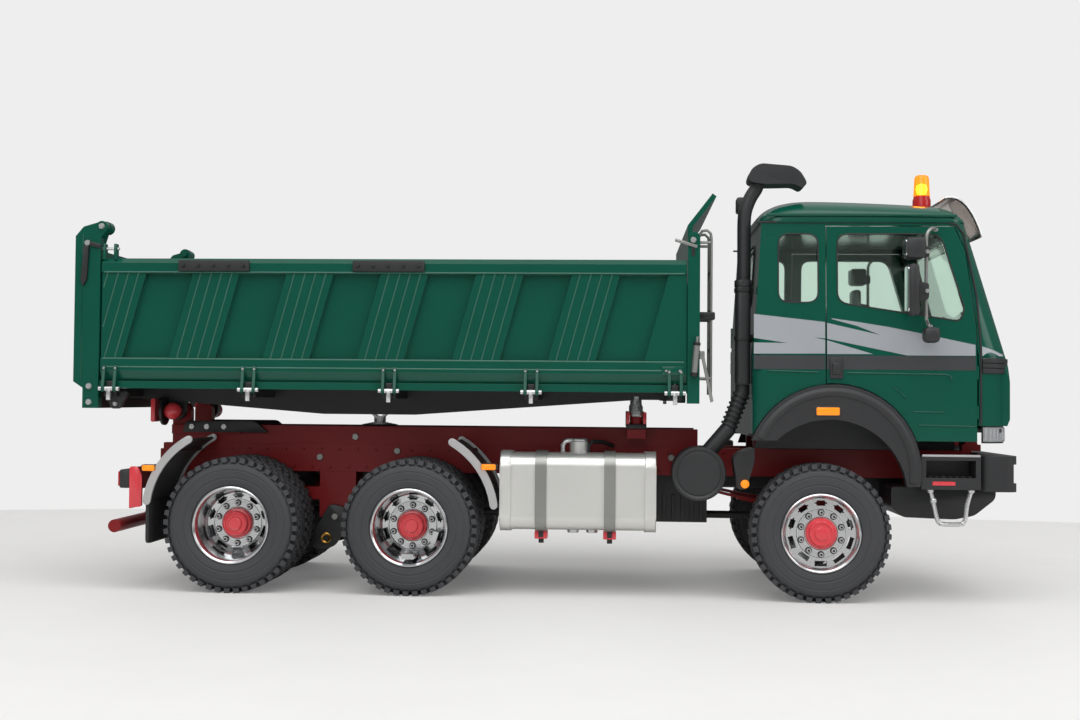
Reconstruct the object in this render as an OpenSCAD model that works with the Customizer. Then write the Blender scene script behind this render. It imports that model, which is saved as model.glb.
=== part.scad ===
// Three-axle three-way tipper truck, a scale model on twin rear wheels.
// Frame: +X is forward, +Y is the truck's left, +Z is up. The origin is on the
// ground under the middle of the truck.

/* [Wheels and axles] */
// Diameter over the tyre lugs
tyre_d = 84; // [78:1:88]
// Width of one tyre
tyre_w = 25; // [22:0.5:27]
// Gap between the tyres of a twin wheel
twin_gap = 2.5; // [1.5:0.5:4]
// Diameter over the rim flanges
rim_d = 48; // [44:1:52]
// Depth of the dish in a twin wheel's outer rim
rim_dish = 18.5; // [14:0.5:20]
// Radius of the red hub cap
cap_r = 9.4; // [7:0.2:10]
// Radius of the wheel bolt circle
bolt_circle_r = 12.7; // [11.5:0.1:14]
// Number of wheel bolts and of rim slots
bolts = 10; // [6:1:10]
// Width over the outer tyre walls
width_over_tyres = 168; // [164:1:172]
// Front axle, ahead of the origin
front_axle_x = 172.5; // [168:0.5:176]
// Front axle to first rear axle
wheelbase = 251.5; // [244:0.5:258]
// First rear axle to second rear axle
bogie_spacing = 111.5; // [106:0.5:118]
// Radius of the stub axles that the wheels turn on
stub_r = 4; // [3:0.25:5]
// Kingpin distance from the middle of the truck
king_y = 50; // [48:0.5:52]
// Radius of a kingpin
king_r = 3; // [2:0.25:3.5]
// Length of a steering arm
steer_arm = 15; // [15:0.5:18]
// Running clearance of a pin in its bore, on the radius
fit = 0.06; // [0.03:0.01:0.1]

/* [Frame] */
// Width over the two frame rails
frame_w = 54; // [50:1:56]
// Height of a frame rail
rail_h = 18; // [15:0.5:20]
// Thickness of the rail's web and flanges
rail_t = 1.6; // [1:0.1:2.5]
// Width of a rail's flange
rail_flange = 7; // [5:0.5:8]
// Axle centre to the underside of the rails
ride_h = 31; // [29:0.5:33]
// Height of the tipping subframe on the rails
subframe_h = 12; // [10:0.5:14]
// Rear end of the rails
frame_rear_x = -252; // [-256:0.5:-249]
// Radius of the trailer coupling's hole in the rear crossmember
coupling_r = 3; // [2:0.25:3.5]
// Width between the coupling's bolt holes
coupling_w = 16; // [12:0.5:20]
// Height between the coupling's bolt holes
coupling_h = 8; // [6:0.5:10]

/* [Load bed] */
// Length of the load floor
bed_len = 364; // [356:1:370]
// Front end of the load floor
bed_front_x = 91; // [88:0.5:93]
// Width over the side walls
bed_w = 176; // [172:1:180]
// Subframe top to the underside of the floor
bed_gap = 23.4; // [22:0.2:26]
// Thickness of the floor with its edge rails
floor_t = 5.1; // [4:0.1:6]
// Height of the side walls
wall_h = 76; // [70:1:80]
// Thickness of a side wall over its rails
wall_t = 7; // [6:0.25:8]
// Height of a side wall's top rail
top_rail_h = 9; // [7:0.5:11]
// Height of a side wall's lower rail
low_rail_h = 7.5; // [6:0.5:9]
// Number of slanted pressings in a side wall
pressings = 6; // [3:1:6]
// Spacing of the slanted pressings
pressing_pitch = 58.9; // [57:0.1:60]
// Width of a slanted pressing
pressing_w = 29.6; // [24:0.2:34]
// How far the top of a pressing leans forward
pressing_lean = 14.5; // [8:0.5:18]
// Number of hinges under each side wall
wall_hinges = 5; // [3:1:5]
// Spacing of those hinges
hinge_pitch = 87.4; // [84:0.2:87.6]
// Length of a rear corner post along the truck
post_l = 16; // [14:0.5:18]
// Height of the tailgate pivot above the floor
gate_pivot_h = 95.5; // [92:0.5:98]
// Height of the front wall above the floor
head_h = 93; // [88:0.5:96]
// Tipping hinge, behind the origin
tip_x = -240; // [-243:0.5:-237]
// Tipping cylinder, behind the origin
ram_x = -112; // [-116:0.5:-108]
// Radius of the tipping cylinder's barrel
ram_r = 12; // [11:0.25:13]

/* [Cab] */
// Width of the cab at the belt line
cab_w = 172; // [168:1:174]
// Length of the cab
cab_len = 154.5; // [152:0.5:157]
// Front axle to the back of the cab
cab_back = 41.5; // [40:0.5:43]
// Rail top to the lower edge of the doors
cab_gap = 7; // [6:0.25:8]
// Lower edge of the doors to the rain gutter
cab_h = 133; // [128:1:138]
// Height of the roof above the gutter
roof_h = 17.4; // [14:0.2:20]
// Thickness of the cab walls and doors
cab_t = 4; // [3:0.25:5]
// Slope of the windscreen from upright
screen_rake = 17; // [15:0.5:18]
// Radius of the wheel arch in the cab side
arch_r = 52.5; // [51:0.25:54]
// Gap round a door
door_gap = 0.5; // [0.3:0.1:0.8]
// Length of the bumper's end along the truck
bumper_l = 22.5; // [20:0.5:24]
// Height of the bumper
bumper_h = 21.5; // [19:0.5:23]

/* [Side equipment] */
// Length of the fuel tank
tank_l = 95.5; // [80:0.5:100]
// Height of the fuel tank
tank_h = 48.5; // [42:0.5:49]
// Depth of the fuel tank across the truck
tank_w = 38; // [32:0.5:42]
// Radius of the air filter drum
filter_r = 15.8; // [13:0.1:16.5]

/* [Hidden] */
$fn = 48;
tyre_r = tyre_d / 2;
axle_z = tyre_r;
half_tyres = width_over_tyres / 2;
mid_axle_x = front_axle_x - wheelbase;
rear_axle_x = mid_axle_x - bogie_spacing;
bogie_x = (mid_axle_x + rear_axle_x) / 2;
wheel_y = half_tyres - tyre_w / 2;
twin_pitch = tyre_w + twin_gap;
twin_y = wheel_y - twin_pitch / 2;
rim_r = rim_d / 2;
rim_lip = 1;
flange_t = 1.5;
flange_h = 1.5;
seat_r = rim_r - flange_h;
rim_half = tyre_w / 2 - rim_lip;
barrel_r = seat_r - 1.2;
disc_t = 2.5;

rail_y1 = frame_w / 2;
rail_y0 = rail_y1 - rail_flange;
frame_z0 = axle_z + ride_h;
frame_z1 = frame_z0 + rail_h;
sub_z1 = frame_z1 + subframe_h;

bed_z0 = sub_z1 + bed_gap;
floor_z = bed_z0 + floor_t;
bed_rear_x = bed_front_x - bed_len;
bed_y = bed_w / 2;
wall_z0 = floor_z + 0.3;
wall_z1 = floor_z + wall_h;
wall_y0 = bed_y - wall_t;
wall_gap = 0.5;
wall_x0 = bed_rear_x + wall_gap;
wall_x1 = bed_front_x - wall_gap;
hinge_y = bed_y + 1.9;
hinge_z = bed_z0 - 0.4;
hinge_r = 1;
tip_z = sub_z1 + 9;
tip_r = 3;
beam_y0 = 34;
beam_y1 = 40;
post_y0 = bed_y - 5.5;
gate_z = floor_z + gate_pivot_h;
gate_x = bed_rear_x;
gate_pin_r = 2;
ram_foot_z = sub_z1 - 15;
ram_eye_z = tip_z + 2;
ram_eye_r = 6;
ram_eye_bore = 4.6;

cab_x0 = front_axle_x - cab_back;
cab_x1 = cab_x0 + cab_len;
cab_y = cab_w / 2;
cab_z0 = frame_z1 + cab_gap;
gutter_z = cab_z0 + cab_h;
belt_z = cab_z0 + 52;
sill_z = cab_z0 + 6;
door_x0 = cab_x0 + 43.5;
door_x1 = cab_x1 - 20.5;
arch_x = front_axle_x + 6.5;
arch_z = cab_z0 - 18;
liner_y = king_y + 8;
tilt_x = cab_x1 - 9.5;
tilt_z = frame_z1 + 4;
tilt_r = 2;
bumper_x1 = cab_x1 + 4;
bumper_x0 = bumper_x1 - bumper_l;
bumper_z0 = frame_z0 - 4.5;
bumper_z1 = bumper_z0 + bumper_h;
step_y1 = cab_y - 1;
step_y0 = step_y1 - 23;
tank_x0 = -23;
tank_y1 = 80;
tank_z1 = frame_z1 - 2;
filter_x = tank_x0 + tank_l + 26.3;
filter_z = frame_z0 + 4;
stack_y = 18 - cab_y;
under_x = frame_rear_x - 12;

body_green = "#1f7a45";
frame_red = "#7d1f1c";
black = "#1d1e20";
alloy = "#b9bdc0";

// Outline in XZ, extruded across the truck from y0 to y1
module xz(y0, y1) translate([0, y1, 0]) rotate([90, 0, 0]) linear_extrude(y1 - y0) children();

// Outline in YZ, extruded along the truck from x0 to x1
module yz(x0, x1) translate([x0, 0, 0]) rotate([90, 0, 90]) linear_extrude(x1 - x0) children();

// Block between two corners
module block(x0, x1, y0, y1, z0, z1) translate([x0, y0, z0]) cube([x1 - x0, y1 - y0, z1 - z0]);

// Round bars along the three axes
module bar_x(x0, x1, y, z, r) translate([x0, y, z]) rotate([0, 90, 0]) cylinder(r = r, h = x1 - x0);
module bar_y(x, y0, y1, z, r) translate([x, y0, z]) rotate([-90, 0, 0]) cylinder(r = r, h = y1 - y0);
module bar_z(x, y, z0, z1, r) translate([x, y, z0]) cylinder(r = r, h = z1 - z0);

// Round rod between two points
module rod(a, b, r) {
  d = b - a;
  translate(a) rotate([0, acos(d.z / norm(d)), atan2(d.y, d.x)]) cylinder(r = r, h = norm(d));
}

// Rectangle with round corners
module round_rect(x0, x1, z0, z1, r) {
  translate([x0 + r, z0]) square([x1 - x0 - 2 * r, z1 - z0]);
  translate([x0, z0 + r]) square([x1 - x0, z1 - z0 - 2 * r]);
  for (x = [x0 + r, x1 - r], z = [z0 + r, z1 - r]) translate([x, z]) circle(r);
}

// A shape made on the left, and its mirror image on the right
module both() {
  children();
  mirror([0, 1, 0]) children();
}
module right() mirror([0, 1, 0]) children();

// WHEELS. Each is made about its own middle, with +Y outwards.

module revolve_y() rotate([-90, 0, 0]) rotate_extrude($fn = 96) children();

module tyre() {
  h = tyre_w / 2;
  wall = [[seat_r, h - 2.5], [rim_r + 0.4, h - 2.5], [rim_r + 3, h - 0.5], [rim_r + 8, h],
    [tyre_r - 6, h - 0.3], [tyre_r - 1.2, h - 1.6], [tyre_r, h - 4.5]];
  mirrored = [for (i = [len(wall) - 1:-1:0]) [wall[i].x, -wall[i].y]];
  revolve_y() polygon(concat(wall, mirrored));
}

// Rim barrel with a flange at each side
module rim_barrel() {
  h = rim_half;
  revolve_y() polygon([[barrel_r, -h], [rim_r, -h], [rim_r, flange_t - h], [seat_r, flange_t - h],
    [seat_r, h - flange_t], [rim_r, h - flange_t], [rim_r, h], [barrel_r, h]]);
}

// Rim disc from y0 to y1, with a ring of slots and of bolt heads on its outer face
module rim_disc(y0, y1) {
  slot_r = (barrel_r + bolt_circle_r) / 2 + 1.4;
  difference() {
    bar_y(0, y0, y1, 0, barrel_r + 0.4);
    for (i = [0:bolts - 1]) rotate([0, i * 360 / bolts, 0])
      block(-2.6, 2.6, y0 - 1, y1 + 1, slot_r - 1.3, slot_r + 1.3);
  }
  for (i = [0:bolts - 1]) rotate([0, (i + 0.5) * 360 / bolts, 0])
    bar_y(0, y1 - 0.5, y1 + 1.2, bolt_circle_r, 1.3);
}

// Hub cap with a raised middle
module hub_cap(y0, h) {
  revolve_y() polygon([[0, y0], [cap_r, y0], [cap_r, y0 + h - 1.5], [cap_r - 1.5, y0 + h - 0.5],
    [cap_r - 3, y0 + h - 0.5], [cap_r - 3.5, y0 + h], [0, y0 + h]]);
}

module front_rim() {
  face = rim_half - 2.5;
  color(alloy) difference() {
    union() {
      rim_barrel();
      rim_disc(face - disc_t, face);
      bar_y(0, 1 - rim_half, face, 0, bolt_circle_r - 2.5);
      hub_cap(face, 5);
    }
    bar_y(0, -rim_half, face, 0, stub_r + fit);
  }
}

module twin_rims() {
  face = twin_pitch / 2 + rim_half - rim_dish;
  inner_disc = rim_half - twin_pitch / 2 - flange_t;
  color(alloy) difference() {
    union() {
      for (s = [-1, 1]) translate([0, s * twin_pitch / 2, 0]) rim_barrel();
      rim_disc(face - disc_t, face);
      bar_y(0, inner_disc - disc_t, inner_disc, 0, barrel_r + 0.4);
      bar_y(0, 3.5 - twin_pitch / 2 - rim_half, face - disc_t / 2, 0, bolt_circle_r - 2.5);
      hub_cap(face, 8);
    }
    bar_y(0, -twin_pitch, face, 0, stub_r + fit);
  }
}

module twin_tyres() color(black) for (s = [-1, 1]) translate([0, s * twin_pitch / 2, 0]) tyre();

module tyre_front_left() translate([front_axle_x, wheel_y, axle_z]) color(black) tyre();
module tyre_front_right() right() tyre_front_left();
module rim_front_left() translate([front_axle_x, wheel_y, axle_z]) front_rim();
module rim_front_right() right() rim_front_left();
module tyres_mid_left() translate([mid_axle_x, twin_y, axle_z]) twin_tyres();
module tyres_mid_right() right() tyres_mid_left();
module rims_mid_left() translate([mid_axle_x, twin_y, axle_z]) twin_rims();
module rims_mid_right() right() rims_mid_left();
module tyres_rear_left() translate([rear_axle_x, twin_y, axle_z]) twin_tyres();
module tyres_rear_right() right() tyres_rear_left();
module rims_rear_left() translate([rear_axle_x, twin_y, axle_z]) twin_rims();
module rims_rear_right() right() rims_rear_left();

// AXLES AND STEERING

fork_t = 2.8;
fork_gap = 0.3;
knuckle_h = 18;
pad_h = 9;
spring_w = 7;
pinion_z = axle_z + 4;

// Axle casing with its round gear housing and a spring pad at each side
module axle_casing(x, reach, tube_r, bowl_r) {
  bar_y(x, -reach, reach, axle_z, tube_r);
  translate([x, 0, axle_z]) sphere(bowl_r, $fn = 64);
  both() block(x - 7, x + 7, rail_y0, rail_y0 + spring_w, axle_z, axle_z + pad_h);
}

// Steered front axle: casing, forks and kingpins
module front_axle() color(black) {
  fork_z = knuckle_h / 2 + fork_gap;
  axle_casing(front_axle_x, king_y - 10, 6, 13);
  bar_x(front_axle_x - 18, front_axle_x, 0, pinion_z, 5);
  both() {
    block(front_axle_x - 6, front_axle_x + 6, king_y - 12, king_y - 8,
      axle_z - fork_z - fork_t, axle_z + fork_z + fork_t);
    for (z = [axle_z - fork_z - fork_t, axle_z + fork_z]) {
      block(front_axle_x - 6, front_axle_x + 6, king_y - 12, king_y - 2, z, z + fork_t);
      bar_z(front_axle_x, king_y, z, z + fork_t, king_r + 1.5);
    }
    bar_z(front_axle_x, king_y, axle_z - fork_z - fork_t, axle_z + fork_z + fork_t, king_r);
  }
}

// Two driven axles with through drive
module rear_axles() color(black) {
  reach = twin_y - twin_pitch / 2 - rim_half + 2.5;
  for (x = [mid_axle_x, rear_axle_x]) {
    axle_casing(x, reach, 7, 15);
    both() bar_y(x, reach - 1, twin_y + twin_pitch / 2 + rim_half - rim_dish - 1, axle_z, stub_r);
  }
  bar_x(mid_axle_x - 20, mid_axle_x + 20, 0, pinion_z, 5);
  bar_x(rear_axle_x, rear_axle_x + 20, 0, pinion_z, 5);
}

// Steering knuckle with stub axle, brake plate and steering arm
module knuckle_left() color(black) translate([front_axle_x, king_y, axle_z]) {
  stub_end = wheel_y - king_y + rim_half - 3.5;
  difference() {
    union() {
      bar_z(0, 0, -knuckle_h / 2, knuckle_h / 2, king_r + 3);
      bar_y(0, king_r + 1, stub_end, 0, stub_r);
      bar_y(0, king_r + 2, king_r + 4.5, 0, 15);
      block(-steer_arm - 2.5, -king_r - 0.5, -2, 2, -6, -2.5);
    }
    bar_z(0, 0, -knuckle_h, knuckle_h, king_r + fit);
  }
}
module knuckle_right() right() knuckle_left();

// Track rod under the two steering arms
module tie_rod() color(alloy) {
  z = axle_z - 8;
  bar_y(front_axle_x - steer_arm, -king_y, king_y, z, 1.5);
  both() bar_z(front_axle_x - steer_arm, king_y - 1.5, z - 2, z + 1.8, 2.4);
}

// Leaf: a curved strip of the half length, whose middle is at x and z; it bows down by bow
module leaf(x, z, half, bow, t) {
  r = (half * half + bow * bow) / (2 * bow);
  translate([x, z + r]) intersection() {
    difference() {
      circle(r + t, $fn = 180);
      circle(r, $fn = 180);
    }
    translate([-half, -r - t - 1]) square([2 * half, bow + t + 1]);
  }
}

// Front leaf springs under the rails, and the rear pair that rocks on trunnions
module leaf_springs() color(frame_red) both() {
  leaf_t = 1.7;
  front_half = 64;
  eye_z = axle_z + pad_h + 3 * leaf_t + 9;
  xz(rail_y0, rail_y0 + spring_w) {
    for (i = [0:2]) leaf(front_axle_x, axle_z + pad_h + leaf_t * (i + 1), front_half - 18 * (2 - i),
      9 - 3.4 * (2 - i), leaf_t);
    for (s = [-1, 1]) {
      translate([front_axle_x + s * front_half, eye_z]) circle(3);
      translate([front_axle_x + s * front_half - 3, eye_z]) square([6, frame_z0 - eye_z]);
    }
  }
  low = axle_z + pad_h + 0.1;
  xz(rail_y0, rail_y0 + spring_w) {
    bogie_leaves(low, leaf_t);
    translate([bogie_x - 12, low - 8]) square([24, frame_z0 - low + 8]);
    translate([bogie_x, low - 8]) circle(8);
  }
}

// Stepped outline of the bogie's leaf pack, bowed up in the middle
module bogie_leaves(low, t) {
  half = bogie_spacing / 2 + 6;
  bow = 3.5;
  leaves = 5;
  stations = 14;
  x = [for (k = [0:stations]) half * (2 * k / stations - 1)];
  z = [for (k = [0:stations]) low + bow * (1 - pow(x[k] / half, 2))];
  under = [for (k = [0:stations]) [x[k], z[k]]];
  front = [for (i = [0:leaves - 2], j = [0, 1]) [x[stations - i - j], z[stations - i - j] + t * (i + 1)]];
  crown = [for (k = [stations - leaves + 1:-1:leaves - 1]) [x[k], z[k] + t * leaves]];
  back = [for (i = [leaves - 2:-1:0], j = [1, 0]) [x[i + j], z[i + j] + t * (i + 1)]];
  translate([bogie_x, 0]) polygon(concat(under, front, crown, back));
}

// Engine block, gearbox, transfer case and propeller shafts
module driveline() color("#3a3c40") {
  engine_x0 = front_axle_x + 14;
  engine_x1 = tilt_x - 9;
  case_x0 = filter_x - 29;
  case_x1 = filter_x + 9;
  engine_y = rail_y0 - 0.5;
  shaft_r = 2.5;
  block(engine_x0, engine_x1, -engine_y, engine_y, frame_z0 - 13, frame_z1 + 5);
  both() block(engine_x0 + 12, engine_x0 + 24, engine_y, rail_y1 - rail_t,
    frame_z0 + rail_t, frame_z0 + rail_t + 5);
  bar_x(case_x1, engine_x0, 0, frame_z0 + 3, 12);
  block(case_x0, case_x1, -17, 17, axle_z, frame_z0 + 12);
  for (i = [0:5]) block(case_x0 + 3 + i * 6, case_x0 + 5 + i * 6, -19, 19, axle_z + 2, axle_z + 18);
  bar_x(case_x1, front_axle_x - 18, 0, pinion_z, shaft_r);
  bar_x(mid_axle_x + 20, case_x0, 0, pinion_z, shaft_r);
  bar_x(rear_axle_x + 20, mid_axle_x - 20, 0, pinion_z, shaft_r);
}

// FRAME

// Channel section rail on the left, open inwards
module channel(x0, x1, z0, z1) {
  difference() {
    block(x0, x1, rail_y0, rail_y1, z0, z1);
    block(x0 - 1, x1 + 1, rail_y0 - 1, rail_y1 - rail_t, z0 + rail_t, z1 - rail_t);
  }
}

// Ladder frame with crossmembers, cab hinge brackets and rear cab rests
module frame_rails() color(frame_red) {
  front = bumper_x1 - 13.5;
  cross_x = [bogie_x - 25, tank_x0 - 8, tank_x0 + tank_l - 20];
  cab_rest_x = cab_x0 + 6;
  both() {
    channel(frame_rear_x, front, frame_z0, frame_z1);
    block(cab_rest_x, cab_rest_x + 9, rail_y0, rail_y1, frame_z1, sill_z - 0.2);
    xz(rail_y0, rail_y1) {
      translate([tilt_x - 6, frame_z1]) square([12, tilt_z - frame_z1]);
      translate([tilt_x, tilt_z]) circle(4);
    }
    bar_y(tilt_x, 11, rail_y0 + 1, tilt_z, tilt_r);
  }
  for (x = cross_x) frame_cross(x);
  difference() {
    frame_cross(frame_rear_x + 4);
    bar_x(frame_rear_x, frame_rear_x + 15, 0, frame_z0 + rail_h / 2, coupling_r);
    for (y = [-1, 1], z = [-1, 1]) bar_x(frame_rear_x, frame_rear_x + 15, y * coupling_w / 2,
      frame_z0 + rail_h / 2 + z * coupling_h / 2, 1);
  }
}

// Crossmember between the webs of the rails
module frame_cross(x)
  block(x, x + 6, rail_t - rail_y1, rail_y1 - rail_t, frame_z0 + rail_t, frame_z1 - rail_t);

tip_pin_end = beam_y1 + 5;
rest_x = bed_front_x - 30;
rest_z = sub_z1 + 8;

// Tipping subframe with the hinge brackets, the cylinder's cradle and the front bed rests
module subframe() color(frame_red) {
  x0 = tip_x - 6;
  x1 = bed_front_x + 10;
  both() {
    channel(x0, x1, frame_z1, sub_z1);
    xz(rail_y0, rail_y1) {
      translate([tip_x - 6, sub_z1]) square([12, tip_z - sub_z1]);
      translate([tip_x, tip_z]) circle(6);
    }
    xz(rail_y1, rail_y1 + 2) translate([x0, sub_z1 - 6]) square([46, 6]);
    bar_y(tip_x, rail_y0, tip_pin_end, tip_z, tip_r);
    bar_y(tip_x, beam_y1 + 0.4, tip_pin_end, tip_z, 5);
    block(rest_x - 6, rest_x + 6, rail_y1, beam_y1 + 2, sub_z1 - 6, sub_z1);
    bar_z(rest_x, (beam_y0 + beam_y1) / 2, sub_z1 - 1, rest_z, 3.5);
    block(ram_x - 7, ram_x + 7, ram_r + 3, rail_y0 + 1, sub_z1 - 6, sub_z1);
    difference() {
      block(ram_x - 7, ram_x + 7, ram_r + 1, ram_r + 4, ram_foot_z - 6, sub_z1);
      bar_y(ram_x, 0, rail_y1, ram_foot_z, 3 + fit);
    }
  }
  for (x = [tip_x + 8, ram_x - 32, ram_x + 26, rest_x - 8])
    block(x, x + 6, rail_t - rail_y1, rail_y1 - rail_t, frame_z1 + 2, sub_z1 - 2);
}

// Round tube under the tail on two arms, and the lamp plate above it
module underrun_bar() color(frame_red) {
  tube_z = axle_z - 1.5;
  plate_x = frame_rear_x - 2;
  bar_y(under_x, 2 - half_tyres, half_tyres - 2, tube_z, 4);
  both() xz(rail_y0, rail_y1) polygon([[under_x - 2, tube_z], [under_x + 2, tube_z - 2],
    [frame_rear_x, frame_z0 - 12], [frame_rear_x, frame_z1 - 4], [plate_x, frame_z1 - 4],
    [plate_x, frame_z0 - 8]]);
  both() block(plate_x, frame_rear_x, rail_y1 - 1, half_tyres - 4, frame_z0 - 10, frame_z0 + 4);
}

// Rear lamp units, and amber side markers on the guards
module lamps() color("#c84a1e") both() {
  block(frame_rear_x - 8, frame_rear_x - 2, half_tyres - 28, half_tyres - 4, frame_z0 - 9, frame_z0 + 3);
  for (m = marker_tabs) block(m[0] + 1, m[1] - 1, guard_y1, guard_y1 + 1.5, m[2] + 0.2, m[2] + tab_h - 0.2);
}

// FENDERS AND STEPS

guard_y0 = twin_y - twin_pitch / 2 - tyre_w / 2;
guard_y1 = half_tyres + 1;
guard_t = 1.5;
guard_r = tyre_r + 10;
guard_z = axle_z + 7;
guard_mid_r = guard_r + guard_t / 2;
lip_w = 6;
flap_z = 30;
// Side marker tabs on the fenders: back end, front end and lower edge of each
marker_tabs = [[rear_axle_x - 56, rear_axle_x - 46.5, frame_z0 + 2],
  [mid_axle_x + 44, mid_axle_x + 54.5, frame_z0 + 5]];
tab_h = 4;

// Part of a ring round a wheel, from angle a0 to a1, up to 90 degrees apart
module ring_sector(r0, r1, a0, a1) intersection() {
  difference() {
    circle(r1, $fn = 120);
    circle(r0, $fn = 120);
  }
  polygon([[0, 0], 2 * r1 * [cos(a0), sin(a0)], 2 * r1 * [cos((a0 + a1) / 2), sin((a0 + a1) / 2)],
    2 * r1 * [cos(a1), sin(a1)]]);
}

// Quarter fender round a rear wheel, with a raised lip along both edges
module quarter_fender(x, a0, a1) {
  xz(guard_y0, guard_y1) translate([x, guard_z]) ring_sector(guard_r, guard_r + guard_t, a0, a1);
  for (y = [guard_y0, guard_y1 - lip_w])
    xz(y, y + lip_w) translate([x, guard_z]) ring_sector(guard_r - 0.8, guard_r + guard_t + 1.2, a0, a1);
}

// Rear quarter fenders with their stays and flaps, and the splash guards behind the front wheels
module mudguards() color(black) both() {
  guard_x = cab_x0 - 12;
  low_end = 8;
  high_end = 60;
  flap_x = rear_axle_x - guard_mid_r * cos(low_end);
  stay_z = frame_z1 - 3;
  stay_dx = sqrt(guard_mid_r * guard_mid_r - (stay_z - guard_z) * (stay_z - guard_z));
  quarter_fender(rear_axle_x, 180 - high_end, 180 - low_end);
  quarter_fender(mid_axle_x, low_end, high_end);
  block(flap_x - 1, flap_x + 1, guard_y0 + 1, guard_y1 - 1, flap_z, guard_z + guard_mid_r * sin(low_end) + 2);
  for (x = [rear_axle_x - stay_dx, mid_axle_x + stay_dx]) bar_y(x, rail_y1, guard_y1 - 3, stay_z, 2);
  for (m = marker_tabs) block(m[0], m[1], guard_y1 - lip_w, guard_y1, m[2], m[2] + tab_h);
  xz(half_tyres - 16, guard_y1) polygon([[guard_x, frame_z0 + 14], [guard_x + 4, frame_z0 + 18],
    [guard_x + 13, frame_z1 + 3], [guard_x + 13, frame_z1 - 6], [guard_x + 8, frame_z0 - 5],
    [guard_x + 3, frame_z0 - 5]]);
  bar_y(guard_x + 6, rail_y1, half_tyres - 16, frame_z0 + 9, 2);
}

// Bumper with wrapped ends, a recessed face and lamp pockets
module bumper() color(black) {
  half = cab_y;
  lip = 3;
  difference() {
    linear_extrude_between(bumper_z0, bumper_z1) bumper_plan(half);
    block(bumper_x1 - lip, bumper_x1 + 1, -half - 1, half + 1, bumper_z0 + 5, bumper_z1 - 5);
    block(bumper_x0 - 1, bumper_x1 - 13.5, -half + 26, half - 26, bumper_z0 - 1, bumper_z1 + 1);
    both() block(bumper_x1 - 9, bumper_x1, half - 36, half - 10, bumper_z0 + 5, bumper_z1 - 5);
  }
}
module linear_extrude_between(z0, z1) translate([0, 0, z0]) linear_extrude(z1 - z0) children();
module bumper_plan(half) round_rect(bumper_x0, bumper_x1, -half, half, 8);

// Rectangular headlamps in the bumper
module headlamps() color("#dfe6ea") both()
  block(bumper_x1 - 9, bumper_x1 - 4, cab_y - 35.7, cab_y - 10.3, bumper_z0 + 5.3, bumper_z1 - 5.3);

// Entry step boxes under the doors, open in front of the tread
module cab_steps() color(black) both() {
  x0 = arch_x + arch_r;
  difference() {
    block(x0, bumper_x0, step_y0, step_y1, bumper_z0 + 1, bumper_z1);
    block(x0 + 3, bumper_x0 - 3, step_y0 + 6, step_y1 + 1, bumper_z0 + 8, bumper_z1 - 3);
  }
  block(bumper_x0 - 12, bumper_x0 - 4, rail_y1, step_y0, frame_z0 + 3, frame_z0 + 9);
}

// Hanging step: a bent rod below each step box
module step_rungs() color(alloy) both() {
  y = step_y1 - 4;
  top = bumper_z0 + 1;
  low = axle_z + 6.4;
  x0 = bumper_x0 - 29;
  x1 = bumper_x0 - 5;
  for (x = [x0, x1]) bar_z(x, y, top - 1, top, 1.7);
  rod([x0, y, top - 0.5], [x0 + 4, y, low], 1.1);
  rod([x1, y, top - 0.5], [x1 - 4, y, low], 1.1);
  bar_x(x0 + 3, x1 - 3, y, low, 1.6);
}

// SIDE EQUIPMENT

strap_x = [tank_x0 + 21.5, tank_x0 + 64];
strap_w = 7;

module tank_outline(g) {
  z1 = tank_z1 + g;
  z0 = tank_z1 - tank_h - g;
  round_rect(tank_y1 - tank_w - g, tank_y1 + g, z0, z1, 9 + g);
}

// Fuel tank on the right, with raised end rims and a filler
module fuel_tank() color(alloy) right() {
  rim = 3;
  yz(tank_x0 + 1, tank_x0 + tank_l - 1) tank_outline(-0.6);
  for (x = [tank_x0, tank_x0 + tank_l - rim]) yz(x, x + rim) tank_outline(0);
  bar_z(tank_x0 + tank_l / 2, tank_y1 - tank_w + 10, tank_z1 - 2, tank_z1 + 6, 6);
}

// Straps round the tank and their brackets on the rail
module tank_straps() color("#70757a") right() for (x = strap_x) {
  z0 = tank_z1 - tank_h;
  difference() {
    union() {
      yz(x, x + strap_w) tank_outline(0.6);
      block(x, x + strap_w, rail_y1, tank_y1 - tank_w + 6, frame_z0 + 1, frame_z0 + 12);
      block(x + 1, x + strap_w - 1, tank_y1 - 20, tank_y1 - 8, z0 - 4.5, z0);
    }
    yz(x - 1, x + strap_w + 1) tank_outline(-0.6);
  }
}

// Battery box and two air tanks on the left
module battery_box() color(black) {
  x0 = tank_x0;
  x1 = tank_x0 + 52;
  z0 = tank_z1 - tank_h + 4;
  block(x0, x1, tank_y1 - tank_w, tank_y1, z0, tank_z1 - 7);
  block(x0 - 1, x1 + 1, tank_y1 - tank_w - 1, tank_y1 + 1, tank_z1 - 7, tank_z1);
  block(x0 + 8, x1 - 8, rail_y1, tank_y1 - tank_w, frame_z0 + 1, frame_z0 + 9);
  for (z = [frame_z0 - 16, frame_z0 + 6]) {
    bar_x(x1 + 6, x1 + 50, tank_y1 - 18, z, 10);
    block(x1 + 24, x1 + 32, rail_y1, tank_y1 - 24, max(z - 3, frame_z0 + 1), frame_z0 + 9);
  }
  block(x1 + 24, x1 + 32, tank_y1 - 30, tank_y1 - 24, frame_z0 - 20, frame_z0 + 9);
}

bellows_top = [cab_x0 - 5, stack_y, cab_z0 + 34];
elbow = [cab_x0 - 14, stack_y, cab_z0 + 6];

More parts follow.
